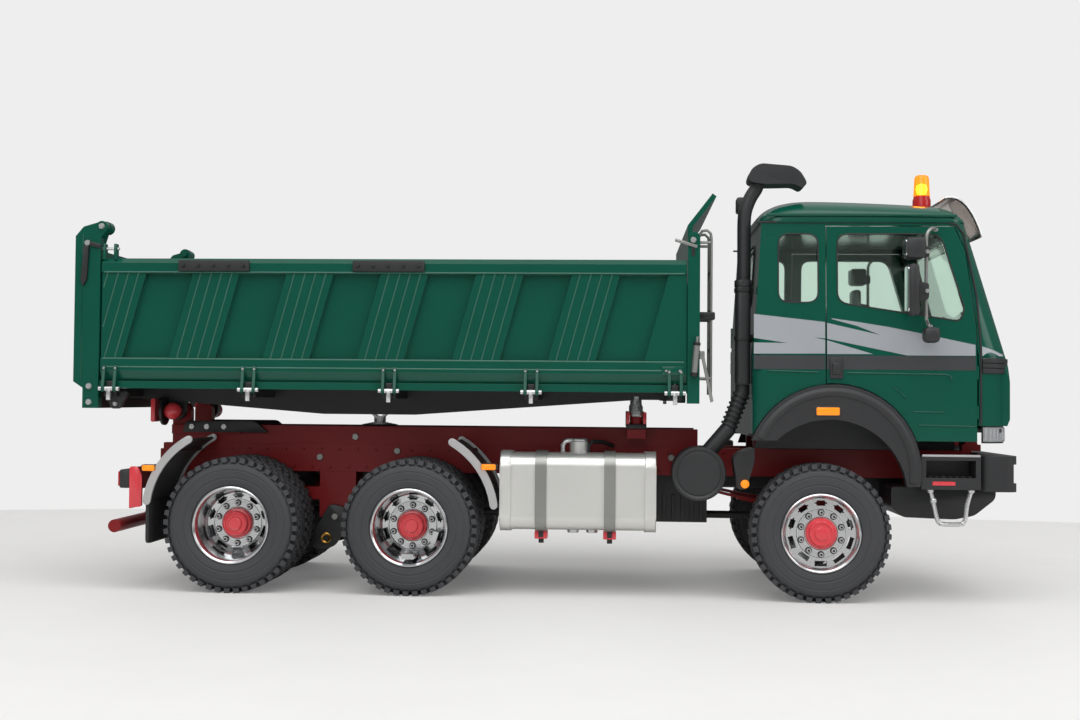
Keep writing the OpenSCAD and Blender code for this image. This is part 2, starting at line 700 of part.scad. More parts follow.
// Air filter drum on the right, with its pipe and the ribbed bellows up to the stack
module air_filter() color(black) {
  rings = 7;
  drum_y = -tank_y1;
  difference() {
    bar_y(filter_x, drum_y, -rail_y1 - 16, filter_z, filter_r);
    bar_y(filter_x, drum_y - 1, drum_y + 1.5, filter_z, filter_r - 2.5);
  }
  bar_y(filter_x, drum_y + 0.5, drum_y + 2, filter_z, 5);
  block(filter_x - 5, filter_x + 5, -rail_y1 - 17, -rail_y1, frame_z0 + 2, frame_z0 + 12);
  rod([filter_x + 2, stack_y, filter_z + 8], elbow, 5);
  translate(elbow) sphere(5);
  slope_top = bellows_top - [0, 0, 4.5];
  rod(elbow, slope_top, 4.4);
  for (i = [0:rings - 1]) {
    a = elbow + (slope_top - elbow) * (i + 0.8) / (rings + 0.8);
    b = elbow + (slope_top - elbow) * (i + 1.25) / (rings + 0.8);
    rod(a, b, 5.4);
  }
  bar_z(bellows_top.x, stack_y, slope_top.z - 2, bellows_top.z, 4.4);
}

// TIPPING CYLINDER. Barrel and three stages, each inside the one before.

stage_r = [ram_r - 2, ram_r - 4, ram_r - 6];
ram_low = ram_foot_z - 30;
ram_top = ram_foot_z + 16;

module cylinder_barrel() color(black) {
  difference() {
    bar_z(ram_x, 0, ram_low, ram_top, ram_r);
    bar_z(ram_x, 0, ram_low + 3, ram_top + 1, stage_r[0] + fit);
  }
  both() bar_y(ram_x, ram_r - 1, ram_r + 6, ram_foot_z, 3);
}
module stage(i) color(alloy) {
  z0 = ram_low + 3.5 + i;
  difference() {
    bar_z(ram_x, 0, z0, ram_top + 0.4 * (i + 1), stage_r[i]);
    if (i < 2) bar_z(ram_x, 0, z0 + 0.5, ram_top + 9, stage_r[i + 1] + fit);
  }
}
module cylinder_stage_1() stage(0);
module cylinder_stage_2() stage(1);
module cylinder_stage_3() {
  stage(2);
  color(alloy) difference() {
    union() {
      bar_y(ram_x, -4, 4, ram_eye_z, ram_eye_r);
      bar_z(ram_x, 0, ram_top, ram_eye_z - ram_eye_bore - 0.3, 4);
    }
    bar_y(ram_x, -5, 5, ram_eye_z, ram_eye_bore);
  }
}

// LOAD BED

function hinge_x(i) = bed_rear_x + 7 + i * hinge_pitch;

// Floor plate with an edge rail along each side, and the raised load face between the walls
module bed_floor() color(body_green) {
  edge = bed_y - 0.5;
  tongue = post_y0 - 0.3;
  border_z = floor_z - 0.5;
  load_y = wall_y0 - 1;
  block(bed_rear_x, bed_front_x, -edge, edge, floor_z - 2, border_z);
  block(bed_rear_x - 3.5, bed_rear_x + 1, -tongue, tongue, floor_z - 2, border_z);
  block(bed_rear_x + 5, bed_front_x - 1, -load_y, load_y, floor_z - 1, floor_z);
  both() block(bed_rear_x, bed_front_x, edge - 5, edge, bed_z0, floor_z - 1);
}

// Outriggers from the beams to the floor's edges, with the pins of the wall hinges
module bed_bearers() color(black) both() for (i = [0:wall_hinges - 1]) {
  edge = bed_y - 0.5;
  x = hinge_x(i);
  block(x - 4, x + 4, beam_y1, edge, bed_z0 - 5, bed_z0);
  block(x - 1.8, x + 1.8, edge, hinge_y, bed_z0 - 5, hinge_z + 1);
  bar_x(x - 5.4, x + 5.4, hinge_y, hinge_z, hinge_r);
}

// Two fish-belly beams with their crossmembers, the rear beam and the cylinder's upper pin
module bed_underframe() color(black) {
  belly = tip_z - 1;
  plate_z = floor_z - 2;
  both() {
    difference() {
      union() {
        xz(beam_y0, beam_y1) polygon([[bed_rear_x, plate_z], [bed_rear_x, bed_z0 - 5.5],
          [ram_x - 30, belly], [ram_x + 30, belly], [bed_front_x - 28, bed_z0 - 4.5],
          [bed_front_x, bed_z0 - 4.5], [bed_front_x, plate_z]]);
        xz(beam_y0, beam_y1) translate([tip_x, tip_z]) circle(6);
        xz(beam_y0, beam_y1) translate([tip_x - 6, tip_z]) square([12, bed_z0 - tip_z]);
      }
      bar_y(tip_x, beam_y0 - 1, beam_y1 + 1, tip_z, tip_r + fit);
    }
    bar_z(rest_x, (beam_y0 + beam_y1) / 2, rest_z + 0.15, bed_z0 - 1, 2.5);
    block(ram_x - 4, ram_x + 4, 5, 9, ram_eye_z - 2.5, plate_z);
  }
  bar_y(ram_x, -9, 9, ram_eye_z, 1.5);
  block(bed_rear_x - 10, bed_rear_x, -post_y0, post_y0, bed_z0 - 12.5, bed_z0);
  for (x = [ram_x - 13, ram_x + 7])
    block(x, x + 6, -beam_y0, beam_y0, bed_z0 - 4, plate_z);
}

// Rear corner post in side view, with the horn that carries the tailgate's pin
module post_outline() {
  x0 = bed_rear_x - post_l - 0.5;
  x1 = bed_rear_x - 0.5;
  polygon([[x0, bed_z0 + 4], [x0, gate_z - 6], [x0 + 5, gate_z], [gate_x, gate_z + 3.4],
    [gate_x + 3, gate_z - 2], [x1, gate_z - 7], [x1, bed_z0 - 12.5], [x1 - 10, bed_z0 - 12.5],
    [x1 - 10, bed_z0]]);
  translate([gate_x, gate_z]) circle(3.6);
}

// Front wall with its posts, ribs and slanted cab guard, and the rear corner posts
module bed_ends() color(body_green) {
  head_z = floor_z + head_h;
  x = bed_front_x;
  both() {
    xz(post_y0, bed_y) post_outline();
    bar_y(gate_x, post_y0 - 9, post_y0, gate_z, gate_pin_r);
    xz(bed_y - 6, bed_y) {
      translate([x, bed_z0 - 6.5]) square([7.4, head_z - bed_z0 + 3.5]);
      translate([x + 3.7, head_z - 3.7]) circle(3.7);
    }
  }
  block(x, x + 3, 5.5 - bed_y, bed_y - 5.5, bed_z0, head_z);
  for (z = [floor_z + 2, floor_z + 40, head_z - 8])
    block(x + 2, x + 7, 5.5 - bed_y, bed_y - 5.5, z, z + 6);
  for (i = [-3:3]) block(x + 2, x + 6, i * 24 - 3, i * 24 + 3, floor_z + 5, head_z - 5);
  xz(4 - bed_y, bed_y - 4) polygon([[x, head_z - 2], [x, head_z + 4.5], [x + 15, head_z + 24],
    [x + 17.4, head_z + 22.2], [x + 3, head_z + 3.5], [x + 3, head_z - 2]]);
}

// Ladder on the front wall: two stiles, three bent rungs and hooked tops
module ladder() color("#8a9096") {
  x0 = bed_front_x + 7;
  x1 = x0 + 8;
  head_z = floor_z + head_h;
  for (y = [-74, -52]) {
    bar_z(x1, y, floor_z - 6, head_z - 2, 0.9);
    for (z = [floor_z + 4, head_z - 5]) bar_x(x0, x1, y, z, 0.9);
  }
  for (z = [floor_z - 2, floor_z + 22, floor_z + 46, floor_z + 70]) bar_y(x1, -74, -52, z, 0.9);
}

// Side wall: rolled top and bottom rails, slanted pressings between them, hinge ears below
module side_wall_left() color(body_green) {
  y0 = wall_y0;
  low_z = wall_z0 + 5.7;
  field_z0 = low_z + low_rail_h;
  field_z1 = wall_z1 - top_rail_h;
  field_y = bed_y - 1;
  skin = 2.4;
  first = wall_x1 - 40.7 - (pressings - 1) * pressing_pitch;
  difference() {
    union() {
      yz(wall_x0, wall_x1) polygon([[y0, wall_z0], [bed_y - 2.5, wall_z0], [bed_y, low_z],
        [bed_y, field_z0], [field_y, field_z0], [field_y, field_z1], [bed_y, field_z1],
        [bed_y, wall_z1 - 3], [bed_y - 3, wall_z1], [y0, wall_z1]]);
      for (x = [for (i = [0:wall_hinges - 1], s = [-1, 1]) hinge_x(i) + s * 3.6]) yz(x - 0.9, x + 0.9) {
        polygon([[bed_y - 0.5, low_z], [bed_y, low_z + 3], [bed_y + 1.2, low_z + 3],
          [hinge_y + 2, hinge_z], [hinge_y - 0.9, hinge_z + 1.8]]);
        translate([hinge_y, hinge_z]) circle(2);
      }
    }
    for (i = [0:pressings - 1]) xz(y0 + skin, bed_y) translate([first + i * pressing_pitch, 0])
      polygon([[-pressing_lean, field_z0 + 0.5], [0, field_z1 - 0.5], [pressing_w, field_z1 - 0.5],
        [pressing_w - pressing_lean, field_z0 + 0.5]]);
    for (i = [0:wall_hinges - 1]) bar_x(hinge_x(i) - 6, hinge_x(i) + 6, hinge_y, hinge_z, hinge_r + fit);
  }
}
module side_wall_right() right() side_wall_left();

// Tailgate between the corner posts, hung from its two top arms
module tailgate() color(body_green) {
  half = post_y0 - 0.6;
  x1 = bed_rear_x - 4.2;
  x0 = x1 - 3;
  z0 = bed_z0 + 0.6;
  z1 = gate_z - 14;
  block(x0, x1, -half, half, z0, z1);
  for (z = [z0, z1 - 8]) block(x0 - 5, x0 + 1, -half, half, z, z + 8);
  for (i = [-3:3]) block(x0 - 4, x0 + 1, i * 24 - 3, i * 24 + 3, z0 + 4, z1 - 4);
  both() difference() {
    xz(half - 6, half) {
      polygon([[x0 - 4, z1 - 4], [x0 - 4, z1 + 6], [gate_x, gate_z + 4], [gate_x, gate_z - 4],
        [x1, z1 - 4]]);
      translate([gate_x, gate_z]) circle(4);
    }
    bar_y(gate_x, 0, bed_y, gate_z, gate_pin_r + fit);
  }
}

// CAB. Every panel is cut from one outer form, set in by a depth d.

// Front of the windscreen at a height
function screen_x(z) = cab_x1 - 1.5 - (z - belt_z) * tan(screen_rake);
screen_top_x = screen_x(gutter_z);
grille_y = cab_y - 26;
beacon_y = 40 - cab_y;

// Outer form of the cab below the gutter
module cab_form(d) intersection() {
  xz(-cab_y, cab_y) polygon([[cab_x0 + d, cab_z0 - 30], [cab_x0 + d, belt_z],
    [cab_x0 + 5 + d, gutter_z + 1], [screen_top_x - d, gutter_z + 1], [cab_x1 - 1.5 - d, belt_z],
    [cab_x1 - d, belt_z - 6], [cab_x1 - d, cab_z0 + 14], [cab_x1 - 4 - d, cab_z0 + 4],
    [cab_x1 - 4 - d, cab_z0 - 30]]);
  yz(cab_x0 - 1, cab_x1 + 1) polygon([[d - cab_y, cab_z0 - 30], [d - cab_y, belt_z],
    [d - cab_y + 4, gutter_z + 1], [cab_y - 4 - d, gutter_z + 1], [cab_y - d, belt_z],
    [cab_y - d, cab_z0 - 30]]);
  linear_extrude_between(cab_z0 - 31, gutter_z + 1) cab_plan(d);
  translate([cab_x1 - d, 0, belt_z]) rotate([0, -screen_rake, 0]) translate([d - cab_x1, 0, -60])
    linear_extrude(gutter_z - belt_z + 90) cab_plan_front(d);
}

// Cab in plan: small corners behind, large ones in front
module cab_plan(d) {
  r = 6;
  translate([cab_x0 + d, -cab_y + d + r]) square([cab_len - 2 * d, cab_w - 2 * d - 2 * r]);
  translate([cab_x0 + d + r, -cab_y + d]) square([cab_len - 2 * d - r - 18, cab_w - 2 * d]);
  for (s = [-1, 1]) {
    translate([cab_x0 + d + r, s * (cab_y - d - r)]) circle(r);
    translate([cab_x1 - d - 18, s * (cab_y - d - 18)]) circle(18);
  }
}
module cab_plan_front(d) {
  r = 18;
  translate([cab_x0 - 80, -cab_y + d + r]) square([cab_len + 80 - d, cab_w - 2 * d - 2 * r]);
  translate([cab_x0 - 80, -cab_y + d]) square([cab_len + 80 - d - r, cab_w - 2 * d]);
  for (s = [-1, 1]) translate([cab_x1 - d - r, s * (cab_y - d - r)]) circle(r);
}

// Wall of the cab between two depths
module cab_wall(d0, d1) difference() {
  cab_form(d0);
  cab_form(d1);
}

// Door in side view, drawn in by g
module door_outline(g) difference() {
  polygon([[door_x0 + g, cab_z0 + g], [door_x0 + g, gutter_z - 2 - g],
    [screen_x(gutter_z - 2) - 7.8 - g, gutter_z - 2 - g],
    [screen_x(gutter_z - 17) - 5.9 - g, gutter_z - 17],
    [door_x1 - 0.5 - g, belt_z + 18], [door_x1 - g, belt_z], [door_x1 - g, cab_z0 + g]]);
  translate([arch_x, arch_z]) circle(arch_r + g, $fn = 120);
}

// Side window of a door
module door_window(g) polygon([[door_x0 + 7 + g, belt_z + 32 + g],
  [door_x0 + 7 + g, gutter_z - 7 - g], [screen_x(gutter_z - 7) - 17.9 - g, gutter_z - 7 - g],
  [screen_x(belt_z + 28) - 17.9 - g, belt_z + 28], [door_x1 - 10.5 - g, belt_z + 21 + g]]);

module quarter_window(g)
  round_rect(cab_x0 + 15 + g, cab_x0 + 39 - g, belt_z + 32 + g, gutter_z - 7 - g, 5 - g);

module screen_outline(g) {
  low = cab_y - 12 - g;
  high = cab_y - 18 - g;
  z0 = belt_z + 7 + g;
  z1 = gutter_z - 6 - g;
  polygon([[-low, z0], [-high, z1], [high, z1], [low, z0]]);
}

module back_window(g) round_rect(36 + g - cab_y, cab_y - 36 - g, belt_z + 32 + g, gutter_z - 8 - g, 5 - g);

// Front panel's share of the form, below the windscreen
module front_share() block(door_x1 - 0.1, cab_x1 + 1, -cab_y - 1, cab_y + 1, cab_z0 - 31, belt_z + 2);

// Back, side and pillar panels with the windows and door openings cut
module cab_shell() color(body_green) difference() {
  cab_wall(0, cab_t);
  block(cab_x0 - 1, cab_x1 + 1, -cab_y - 1, cab_y + 1, cab_z0 - 40, cab_z0 + 2);
  block(cab_x0 - 1, cab_x1 + 1, -cab_y - 1, cab_y + 1, gutter_z, gutter_z + 5);
  front_share();
  both() {
    xz(cab_y - 15, cab_y + 1) {
      door_outline(0);
      quarter_window(0);
    }
    xz(liner_y - 1, cab_y + 1) translate([arch_x, arch_z]) circle(arch_r, $fn = 120);
  }
  yz(cab_x1 - 45, cab_x1 + 1) screen_outline(0);
  yz(cab_x0 - 1, cab_x0 + 15) back_window(0);
}

// Front panel with its wrapped corners
module cab_front() color(body_green) difference() {
  intersection() {
    cab_wall(0, cab_t);
    block(door_x1 + 0.5, cab_x1 + 1, -cab_y - 1, cab_y + 1, cab_z0 + 10, belt_z + 1.8);
  }
  block(cab_x1 - 2, cab_x1 + 1, -grille_y, grille_y, cab_z0 + 15, belt_z - 8);
  both() door_barrels(hinge_barrel_r + 0.3, 0.3);
}

// Black grille of level slats in the front panel
module grille() color(black) {
  slats = 6;
  z0 = cab_z0 + 15.3;
  z1 = belt_z - 8.3;
  pitch = (z1 - z0 - 2) / (slats - 1);
  half = grille_y - 0.3;
  block(cab_x1 - 2, cab_x1 - 1, -half, half, z0, z1);
  for (i = [0:slats - 1]) block(cab_x1 - 1.5, cab_x1 + 1, -half, half, z0 + i * pitch, z0 + i * pitch + 2);
  for (y = [-2:2] * (half - 3.7) / 2) block(cab_x1 - 1.5, cab_x1 + 0.6, y - 1, y + 1, z0, z1);
}

// Domed roof panel over the gutter, hollow below
module roof_form(d) {
  z = gutter_z;
  x0 = cab_x0 + 4.5;
  x1 = screen_top_x + 1;
  intersection() {
    xz(-cab_y, cab_y) polygon([[x0 + d, z], [x0 + d, z + 5], [x0 + 4 + d, z + 10 - d / 2],
      [x0 + 14, z + roof_h - 2 - d], [x0 + 25, z + roof_h - d], [x1 - 21, z + roof_h - 3 - d],
      [x1 - 9, z + roof_h - 5.5 - d], [x1 - 3 - d, z + 7], [x1 - d, z]]);
    yz(x0, x1) polygon([[d - cab_y + 3, z], [d - cab_y + 3, z + 4], [d - cab_y + 8, z + 10],
      [20 - cab_y, z + 15.5 - d], [46 - cab_y, z + roof_h + 1 - d], [cab_y - 46, z + roof_h + 1 - d],
      [cab_y - 20, z + 15.5 - d], [cab_y - 8 - d, z + 10], [cab_y - 3 - d, z + 4], [cab_y - 3 - d, z]]);
  }
}
module cab_roof() color(body_green) difference() {
  roof_form(0);
  translate([0, 0, -0.01]) roof_form(3);
}

// Floor, tunnel, two seats, dashboard and steering wheel, and the tilt hinge's ears
module cab_interior() color(black) {
  inner = cab_y - cab_t - 0.3;
  x0 = cab_x0 + cab_t + 0.3;
  x1 = tilt_x + 4;
  floor_top = sill_z + 2.5;
  difference() {
    block(x0, x1, -inner, inner, sill_z, floor_top);
    both() xz(liner_y - 2, cab_y) translate([arch_x, arch_z]) circle(arch_r + 0.3, $fn = 120);
  }
  block(x0, x1 - 10, 2 - rail_y0, rail_y0 - 2, floor_top - 1, floor_top + 18);
  both() {
    seat_y0 = 26;
    seat_y1 = 53;
    block(door_x0 - 14, door_x0 + 20, seat_y0 + 5, seat_y1 - 5, floor_top - 1, floor_top + 20);
    block(door_x0 - 18, door_x0 + 24, seat_y0, seat_y1, floor_top + 19, floor_top + 29);
    xz(seat_y0 + 1, seat_y1 - 1) polygon([[door_x0 - 17, floor_top + 24], [door_x0 - 8, floor_top + 24],
      [door_x0 - 16, floor_top + 79], [door_x0 - 24, floor_top + 79]]);
    difference() {
      xz(12, rail_y0 - 0.4) {
        translate([tilt_x, tilt_z]) circle(4.4);
        translate([tilt_x - 4, tilt_z]) square([8, sill_z + 1 - tilt_z]);
      }
      bar_y(tilt_x, 0, rail_y1, tilt_z, tilt_r + fit);
    }
  }
  xz(7 - inner, inner - 7) polygon([[x1 - 26, belt_z - 6], [x1 - 24, belt_z + 2], [x1 - 3, belt_z + 2],
    [x1 - 3, sill_z + 1], [x1 - 9, sill_z + 1], [x1 - 9, belt_z - 12]]);
  translate([x1 - 34, 40, belt_z + 8]) rotate([0, -35, 0]) {
    difference() {
      bar_z(0, 0, -1.2, 1.2, 15.2);
      bar_z(0, 0, -2, 2, 12.6);
    }
    for (a = [30, 150, 270]) rotate([0, 0, a]) block(1, 13.5, -1, 1, -0.8, 0.6);
    bar_z(0, 0, -18, 1.6, 3);
  }
}

// Windscreen, quarter windows and back window, set into the middle of the walls
module cab_glass() color([0.55, 0.7, 0.62, 0.5]) intersection() {
  cab_wall(cab_t * 0.4, cab_t * 0.7);
  union() {
    both() xz(cab_y - 15, cab_y + 1) quarter_window(0.15);
    yz(cab_x1 - 45, cab_x1 + 1) screen_outline(0.15);
    yz(cab_x0 - 1, cab_x0 + 15) back_window(0.15);
  }
}

// Smoked visor over the windscreen, on two cheeks
module sun_visor() color([0.2, 0.22, 0.22, 0.8]) {
  x0 = screen_top_x - 10;
  z0 = gutter_z + roof_h - 1;
  difference() {
    union() {
      xz(14 - cab_y, cab_y - 14) polygon([[x0, z0], [x0 + 1, z0 + 1.5], [x0 + 8, z0 + 0.5],
        [x0 + 22, z0 - 23], [x0 + 20.5, z0 - 23.6], [x0 + 7, z0 - 1]]);
      both() xz(cab_y - 20, cab_y - 17) polygon([[x0 + 1, z0], [x0 + 7, z0], [x0 + 21, z0 - 23],
        [x0 + 8, z0 - 15]]);
    }
    roof_form(0);
    cab_form(0);
  }
}

// Amber beacon on its foot
module beacon() color("#e2761b") {
  x = screen_top_x - 19;
  difference() {
    union() {
      bar_z(x, beacon_y, gutter_z + 8, gutter_z + roof_h + 4, 4);
      bar_z(x, beacon_y, gutter_z + roof_h + 3, gutter_z + roof_h + 12, 5.2);
      translate([x, beacon_y, gutter_z + roof_h + 12]) scale(5.2) intersection() {
        sphere(1);
        translate([-1, -1, 0]) cube([2, 2, 1]);
      }
    }
    roof_form(0);
  }
}

// Ring at the wheel arch, in side view
module arch_ring(depth) difference() {
  translate([arch_x, arch_z]) circle(arch_r - 0.3, $fn = 120);
  translate([arch_x, arch_z]) circle(arch_r - depth, $fn = 120);
}

// Wheel arch fenders on the cab: a lip along the cut edge and a liner over the tyre
module cab_arches() color(black) both() {
  lip_y = cab_y + 2;
  xz(liner_y, lip_y) intersection() {
    arch_ring(2.8);
    translate([arch_x - 90, arch_z + 20]) square([180, 100]);
  }
  xz(cab_y - cab_t, lip_y) intersection() {
    difference() {
      translate([arch_x, arch_z]) circle(arch_r - 0.3, $fn = 120);
      translate([arch_x - 2, arch_z - 15]) circle(arch_r - 6.5, $fn = 120);
    }
    polygon([[arch_x - 90, arch_z + 18], [arch_x, arch_z + 18], [arch_x, arch_z - 9],
      [arch_x + 90, arch_z - 9], [arch_x + 90, arch_z + 90], [arch_x - 90, arch_z + 90]]);
  }
}

// Raised air intake behind the cab: duct, pipe and hood
module intake_stack() color(black) {
  x = cab_x0 - 6.5;
  top = gutter_z + 28.3;
  pipe_x = x + 2;
  yz(x - 3, x + 6) round_rect(stack_y - 7, stack_y + 7, bellows_top.z + 0.3, belt_z + 46, 3);
  bar_z(pipe_x, stack_y, belt_z + 45, gutter_z + 14, 4.2);
  rod([pipe_x, stack_y, gutter_z + 11], [pipe_x + 8, stack_y, top], 3.6);
  xz(stack_y - 8, stack_y + 8) polygon([[x + 3, top - 4], [x + 5, top + 7], [x + 12, top + 9],
    [x + 36, top + 7], [x + 37, top + 3], [x + 30, top - 2], [x + 12, top - 6]]);
  difference() {
    for (z = [belt_z + 8, belt_z + 38]) block(x + 5, cab_x0 + 12, stack_y - 3, stack_y + 3, z, z + 5);
    cab_form(0);
  }
}

// DOORS. Hinged at their front edge.

hinge_barrel_r = 0.9;

// Hinge barrels of the left door, of radius r, and longer by g at both ends
module door_barrels(r, g) for (z = [sill_z + 8, belt_z - 14])
  bar_z(door_x1, cab_y - 0.5, z - g, z + 8 + g, r);

module door_left() color(body_green) {
  intersection() {
    cab_wall(0, cab_t);
    difference() {
      xz(cab_y - 15, cab_y + 1) door_outline(door_gap);
      xz(cab_y - 16, cab_y + 2) door_window(0);
    }
  }
  door_barrels(hinge_barrel_r, 0);
}
module door_right() right() door_left();

module door_glass_left() color([0.55, 0.7, 0.62, 0.5]) intersection() {
  cab_wall(cab_t * 0.4, cab_t * 0.7);
  xz(cab_y - 15, cab_y + 1) door_window(0.15);
}
module door_glass_right() right() door_glass_left();

// Tall mirror and small round mirror on their tube
module mirror_left() color(black) {
  x = door_x1 - 31;
  y = cab_y + 8;
  difference() {
    union() {
      block(x - 4, x + 4, y - 3, y + 10, belt_z + 24, gutter_z - 12);
      rod([x + 5, y, belt_z + 14], [x + 5, y, gutter_z - 7], 1.3);
      rod([x + 5, y, gutter_z - 8], [x + 8, cab_y - 4, gutter_z - 4], 1.3);
      rod([x + 5, y, belt_z + 15], [x + 8, cab_y - 2, belt_z + 12], 1.3);
      rod([x + 5, y, belt_z + 14], [x + 8, y + 3, belt_z + 12], 1.3);
      bar_x(x + 3, x + 8, y + 3, belt_z + 12, 5.5);
    }
    cab_form(0);
  }
}
module mirror_right() right() mirror_left();

frame_rails();
subframe();
front_axle();
rear_axles();
leaf_springs();
driveline();
fuel_tank();
tank_straps();
battery_box();
air_filter();
bumper();
headlamps();
cab_steps();
step_rungs();
mudguards();
underrun_bar();
lamps();
knuckle_right();
knuckle_left();
tie_rod();
tyre_front_right();
tyre_front_left();
rim_front_right();
rim_front_left();
tyres_mid_right();
tyres_mid_left();
tyres_rear_right();
tyres_rear_left();
rims_mid_right();
rims_mid_left();
rims_rear_right();
rims_rear_left();
cylinder_barrel();
cylinder_stage_1();
cylinder_stage_2();
cylinder_stage_3();
bed_floor();
bed_underframe();
bed_bearers();
bed_ends();
ladder();
side_wall_right();
side_wall_left();
tailgate();
cab_shell();
cab_roof();
cab_front();
grille();
cab_interior();
cab_glass();
sun_visor();
beacon();
cab_arches();
intake_stack();
door_right();
door_left();
door_glass_right();
door_glass_left();
mirror_right();
mirror_left();
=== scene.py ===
"""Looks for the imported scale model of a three-axle tipper truck, laid out as an add-on.

Sizes are in millimetres in the part's own frame: +X forward, +Y to the truck's left, +Z up.
What both sides have is written for the left side, where Y grows outwards. A table of shapes
holds rows for box, flats or tube of a Solid, in the order of their arguments.
"""
import math

import bmesh
import bpy
from bpy.props import FloatProperty, FloatVectorProperty, IntProperty, PointerProperty
from mathutils import Matrix, Vector


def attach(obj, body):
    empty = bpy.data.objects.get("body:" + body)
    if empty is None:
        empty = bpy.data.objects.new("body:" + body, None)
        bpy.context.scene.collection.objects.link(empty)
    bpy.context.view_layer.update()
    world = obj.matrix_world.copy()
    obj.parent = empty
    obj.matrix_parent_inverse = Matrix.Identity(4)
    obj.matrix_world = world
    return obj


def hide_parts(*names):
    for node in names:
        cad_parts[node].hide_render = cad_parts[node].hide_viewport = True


bl_info = {
    "name": "Tipper truck model looks",
    "version": (1, 0, 0),
    "blender": (4, 5, 0),
    "location": "3D View > Sidebar > Tipper",
    "description": "Dresses the packed tipper truck model with tyres, paint, trim and a studio",
    "category": "Object",
}

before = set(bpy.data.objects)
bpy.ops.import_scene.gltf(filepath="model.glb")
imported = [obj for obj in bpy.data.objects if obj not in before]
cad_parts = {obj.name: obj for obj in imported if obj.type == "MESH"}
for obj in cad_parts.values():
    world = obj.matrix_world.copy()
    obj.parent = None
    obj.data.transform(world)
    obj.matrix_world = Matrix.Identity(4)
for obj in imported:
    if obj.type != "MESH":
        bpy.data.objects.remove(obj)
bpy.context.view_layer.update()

MM = 0.001
SIDES = {"right": -1, "left": 1}


def linear(colour):
    """sRGB hex to linear RGBA."""
    parts = [int(colour[i:i + 2], 16) / 255 for i in (1, 3, 5)]
    return tuple(c / 12.92 if c <= 0.04045 else ((c + 0.055) / 1.055) ** 2.4 for c in parts) + (1.0,)


def add(tree, kind, feeds=None, **settings):
    """One node with its settings and with what feeds its sockets."""
    node = tree.nodes.new(kind)
    for key, value in settings.items():
        setattr(node, key, value)
    for key, value in (feeds or {}).items():
        if isinstance(value, bpy.types.NodeSocket):
            tree.links.new(value, node.inputs[key])
        else:
            node.inputs[key].default_value = value
    return node


class TruckSizes(bpy.types.PropertyGroup):
    """Sizes of the trim that a user may change."""

    shoulder_lugs: IntProperty(
        name="Shoulder lugs", description="Lugs round one shoulder of a tyre", default=44, min=12, max=80)
    lug_height: FloatProperty(
        name="Lug height", description="Height of a tyre lug", default=2.6 * MM,
        unit="LENGTH", subtype="DISTANCE")
    nut_radius: FloatProperty(
        name="Wheel nut radius", description="Radius over the corners of a wheel nut", default=1.6 * MM,
        unit="LENGTH", subtype="DISTANCE")
    rivet_radius: FloatProperty(
        name="Rivet radius", description="Radius of a rivet head on the frame", default=0.9 * MM,
        unit="LENGTH", subtype="DISTANCE")
    strip_bolts: IntProperty(
        name="Strip bolts", description="Bolts in one rubber strip on a wall's top rail", default=5,
        min=2, max=9)


class TruckColours(bpy.types.PropertyGroup):
    """Colours of the paints that a user may change."""

    body: FloatVectorProperty(
        name="Body paint", description="Enamel on cab and bed", subtype="COLOR", size=4, min=0, max=1,
        default=linear("#0a5241"))
    chassis: FloatVectorProperty(
        name="Frame paint", description="Paint on the frame", subtype="COLOR", size=4, min=0, max=1,
        default=linear("#85191c"))
    hub: FloatVectorProperty(
        name="Hub paint", description="Paint on the hub caps", subtype="COLOR", size=4, min=0, max=1,
        default=linear("#dd434b"))


# FINISHES

CLOUD_MM = 45  # width of the faint clouds in a paint's colour
DUST_MM = 9
LATHE_RING_MM = 0.35  # coarser than a lathe's rings, so that they show


def new_material(name):
    """An empty material and its tree."""
    mat = bpy.data.materials.new(name)
    mat.use_nodes = True
    mat.node_tree.nodes.clear()
    return mat, mat.node_tree


def tone(colour):
    """Linear colour of a hex value, or of a paint that the user may change."""
    if colour.startswith("#"):
        return linear(colour)
    return tuple(getattr(bpy.context.scene.truck_colours, colour))


def span(tree, value, low, high):
    """A value from nought to one, spread from low to high."""
    spread = add(tree, "ShaderNodeMapRange", {"Value": value, "To Min": low, "To Max": high})
    return spread.outputs["Result"]


def noise(tree, vector, size_mm, detail, roughness=0.5):
    """Grain of a real size."""
    grain = add(tree, "ShaderNodeTexNoise", {"Vector": vector, "Scale": 1 / (size_mm * MM), "Detail": detail,
                                             "Roughness": roughness})
    return grain.outputs["Fac"]


def tinted(tree, share, one, other):
    """A colour between two."""
    return add(tree, "ShaderNodeMix", {0: share, 6: one, 7: other}, data_type="RGBA").outputs[2]


def end_material(mat, feeds):
    """Gives a material its shader and its output."""
    shader = add(mat.node_tree, "ShaderNodeBsdfPrincipled", feeds)
    add(mat.node_tree, "ShaderNodeOutputMaterial", {"Surface": shader.outputs["BSDF"]})
    return mat


def straight_sight(tree):
    """Light path, and one where the eye sees a thing straight or through glass."""
    path = add(tree, "ShaderNodeLightPath")
    seen = add(tree, "ShaderNodeMath", {0: path.outputs["Is Camera Ray"],
                                        1: path.outputs["Is Transmission Ray"]}, operation="MAXIMUM")
    return path, seen.outputs[0]


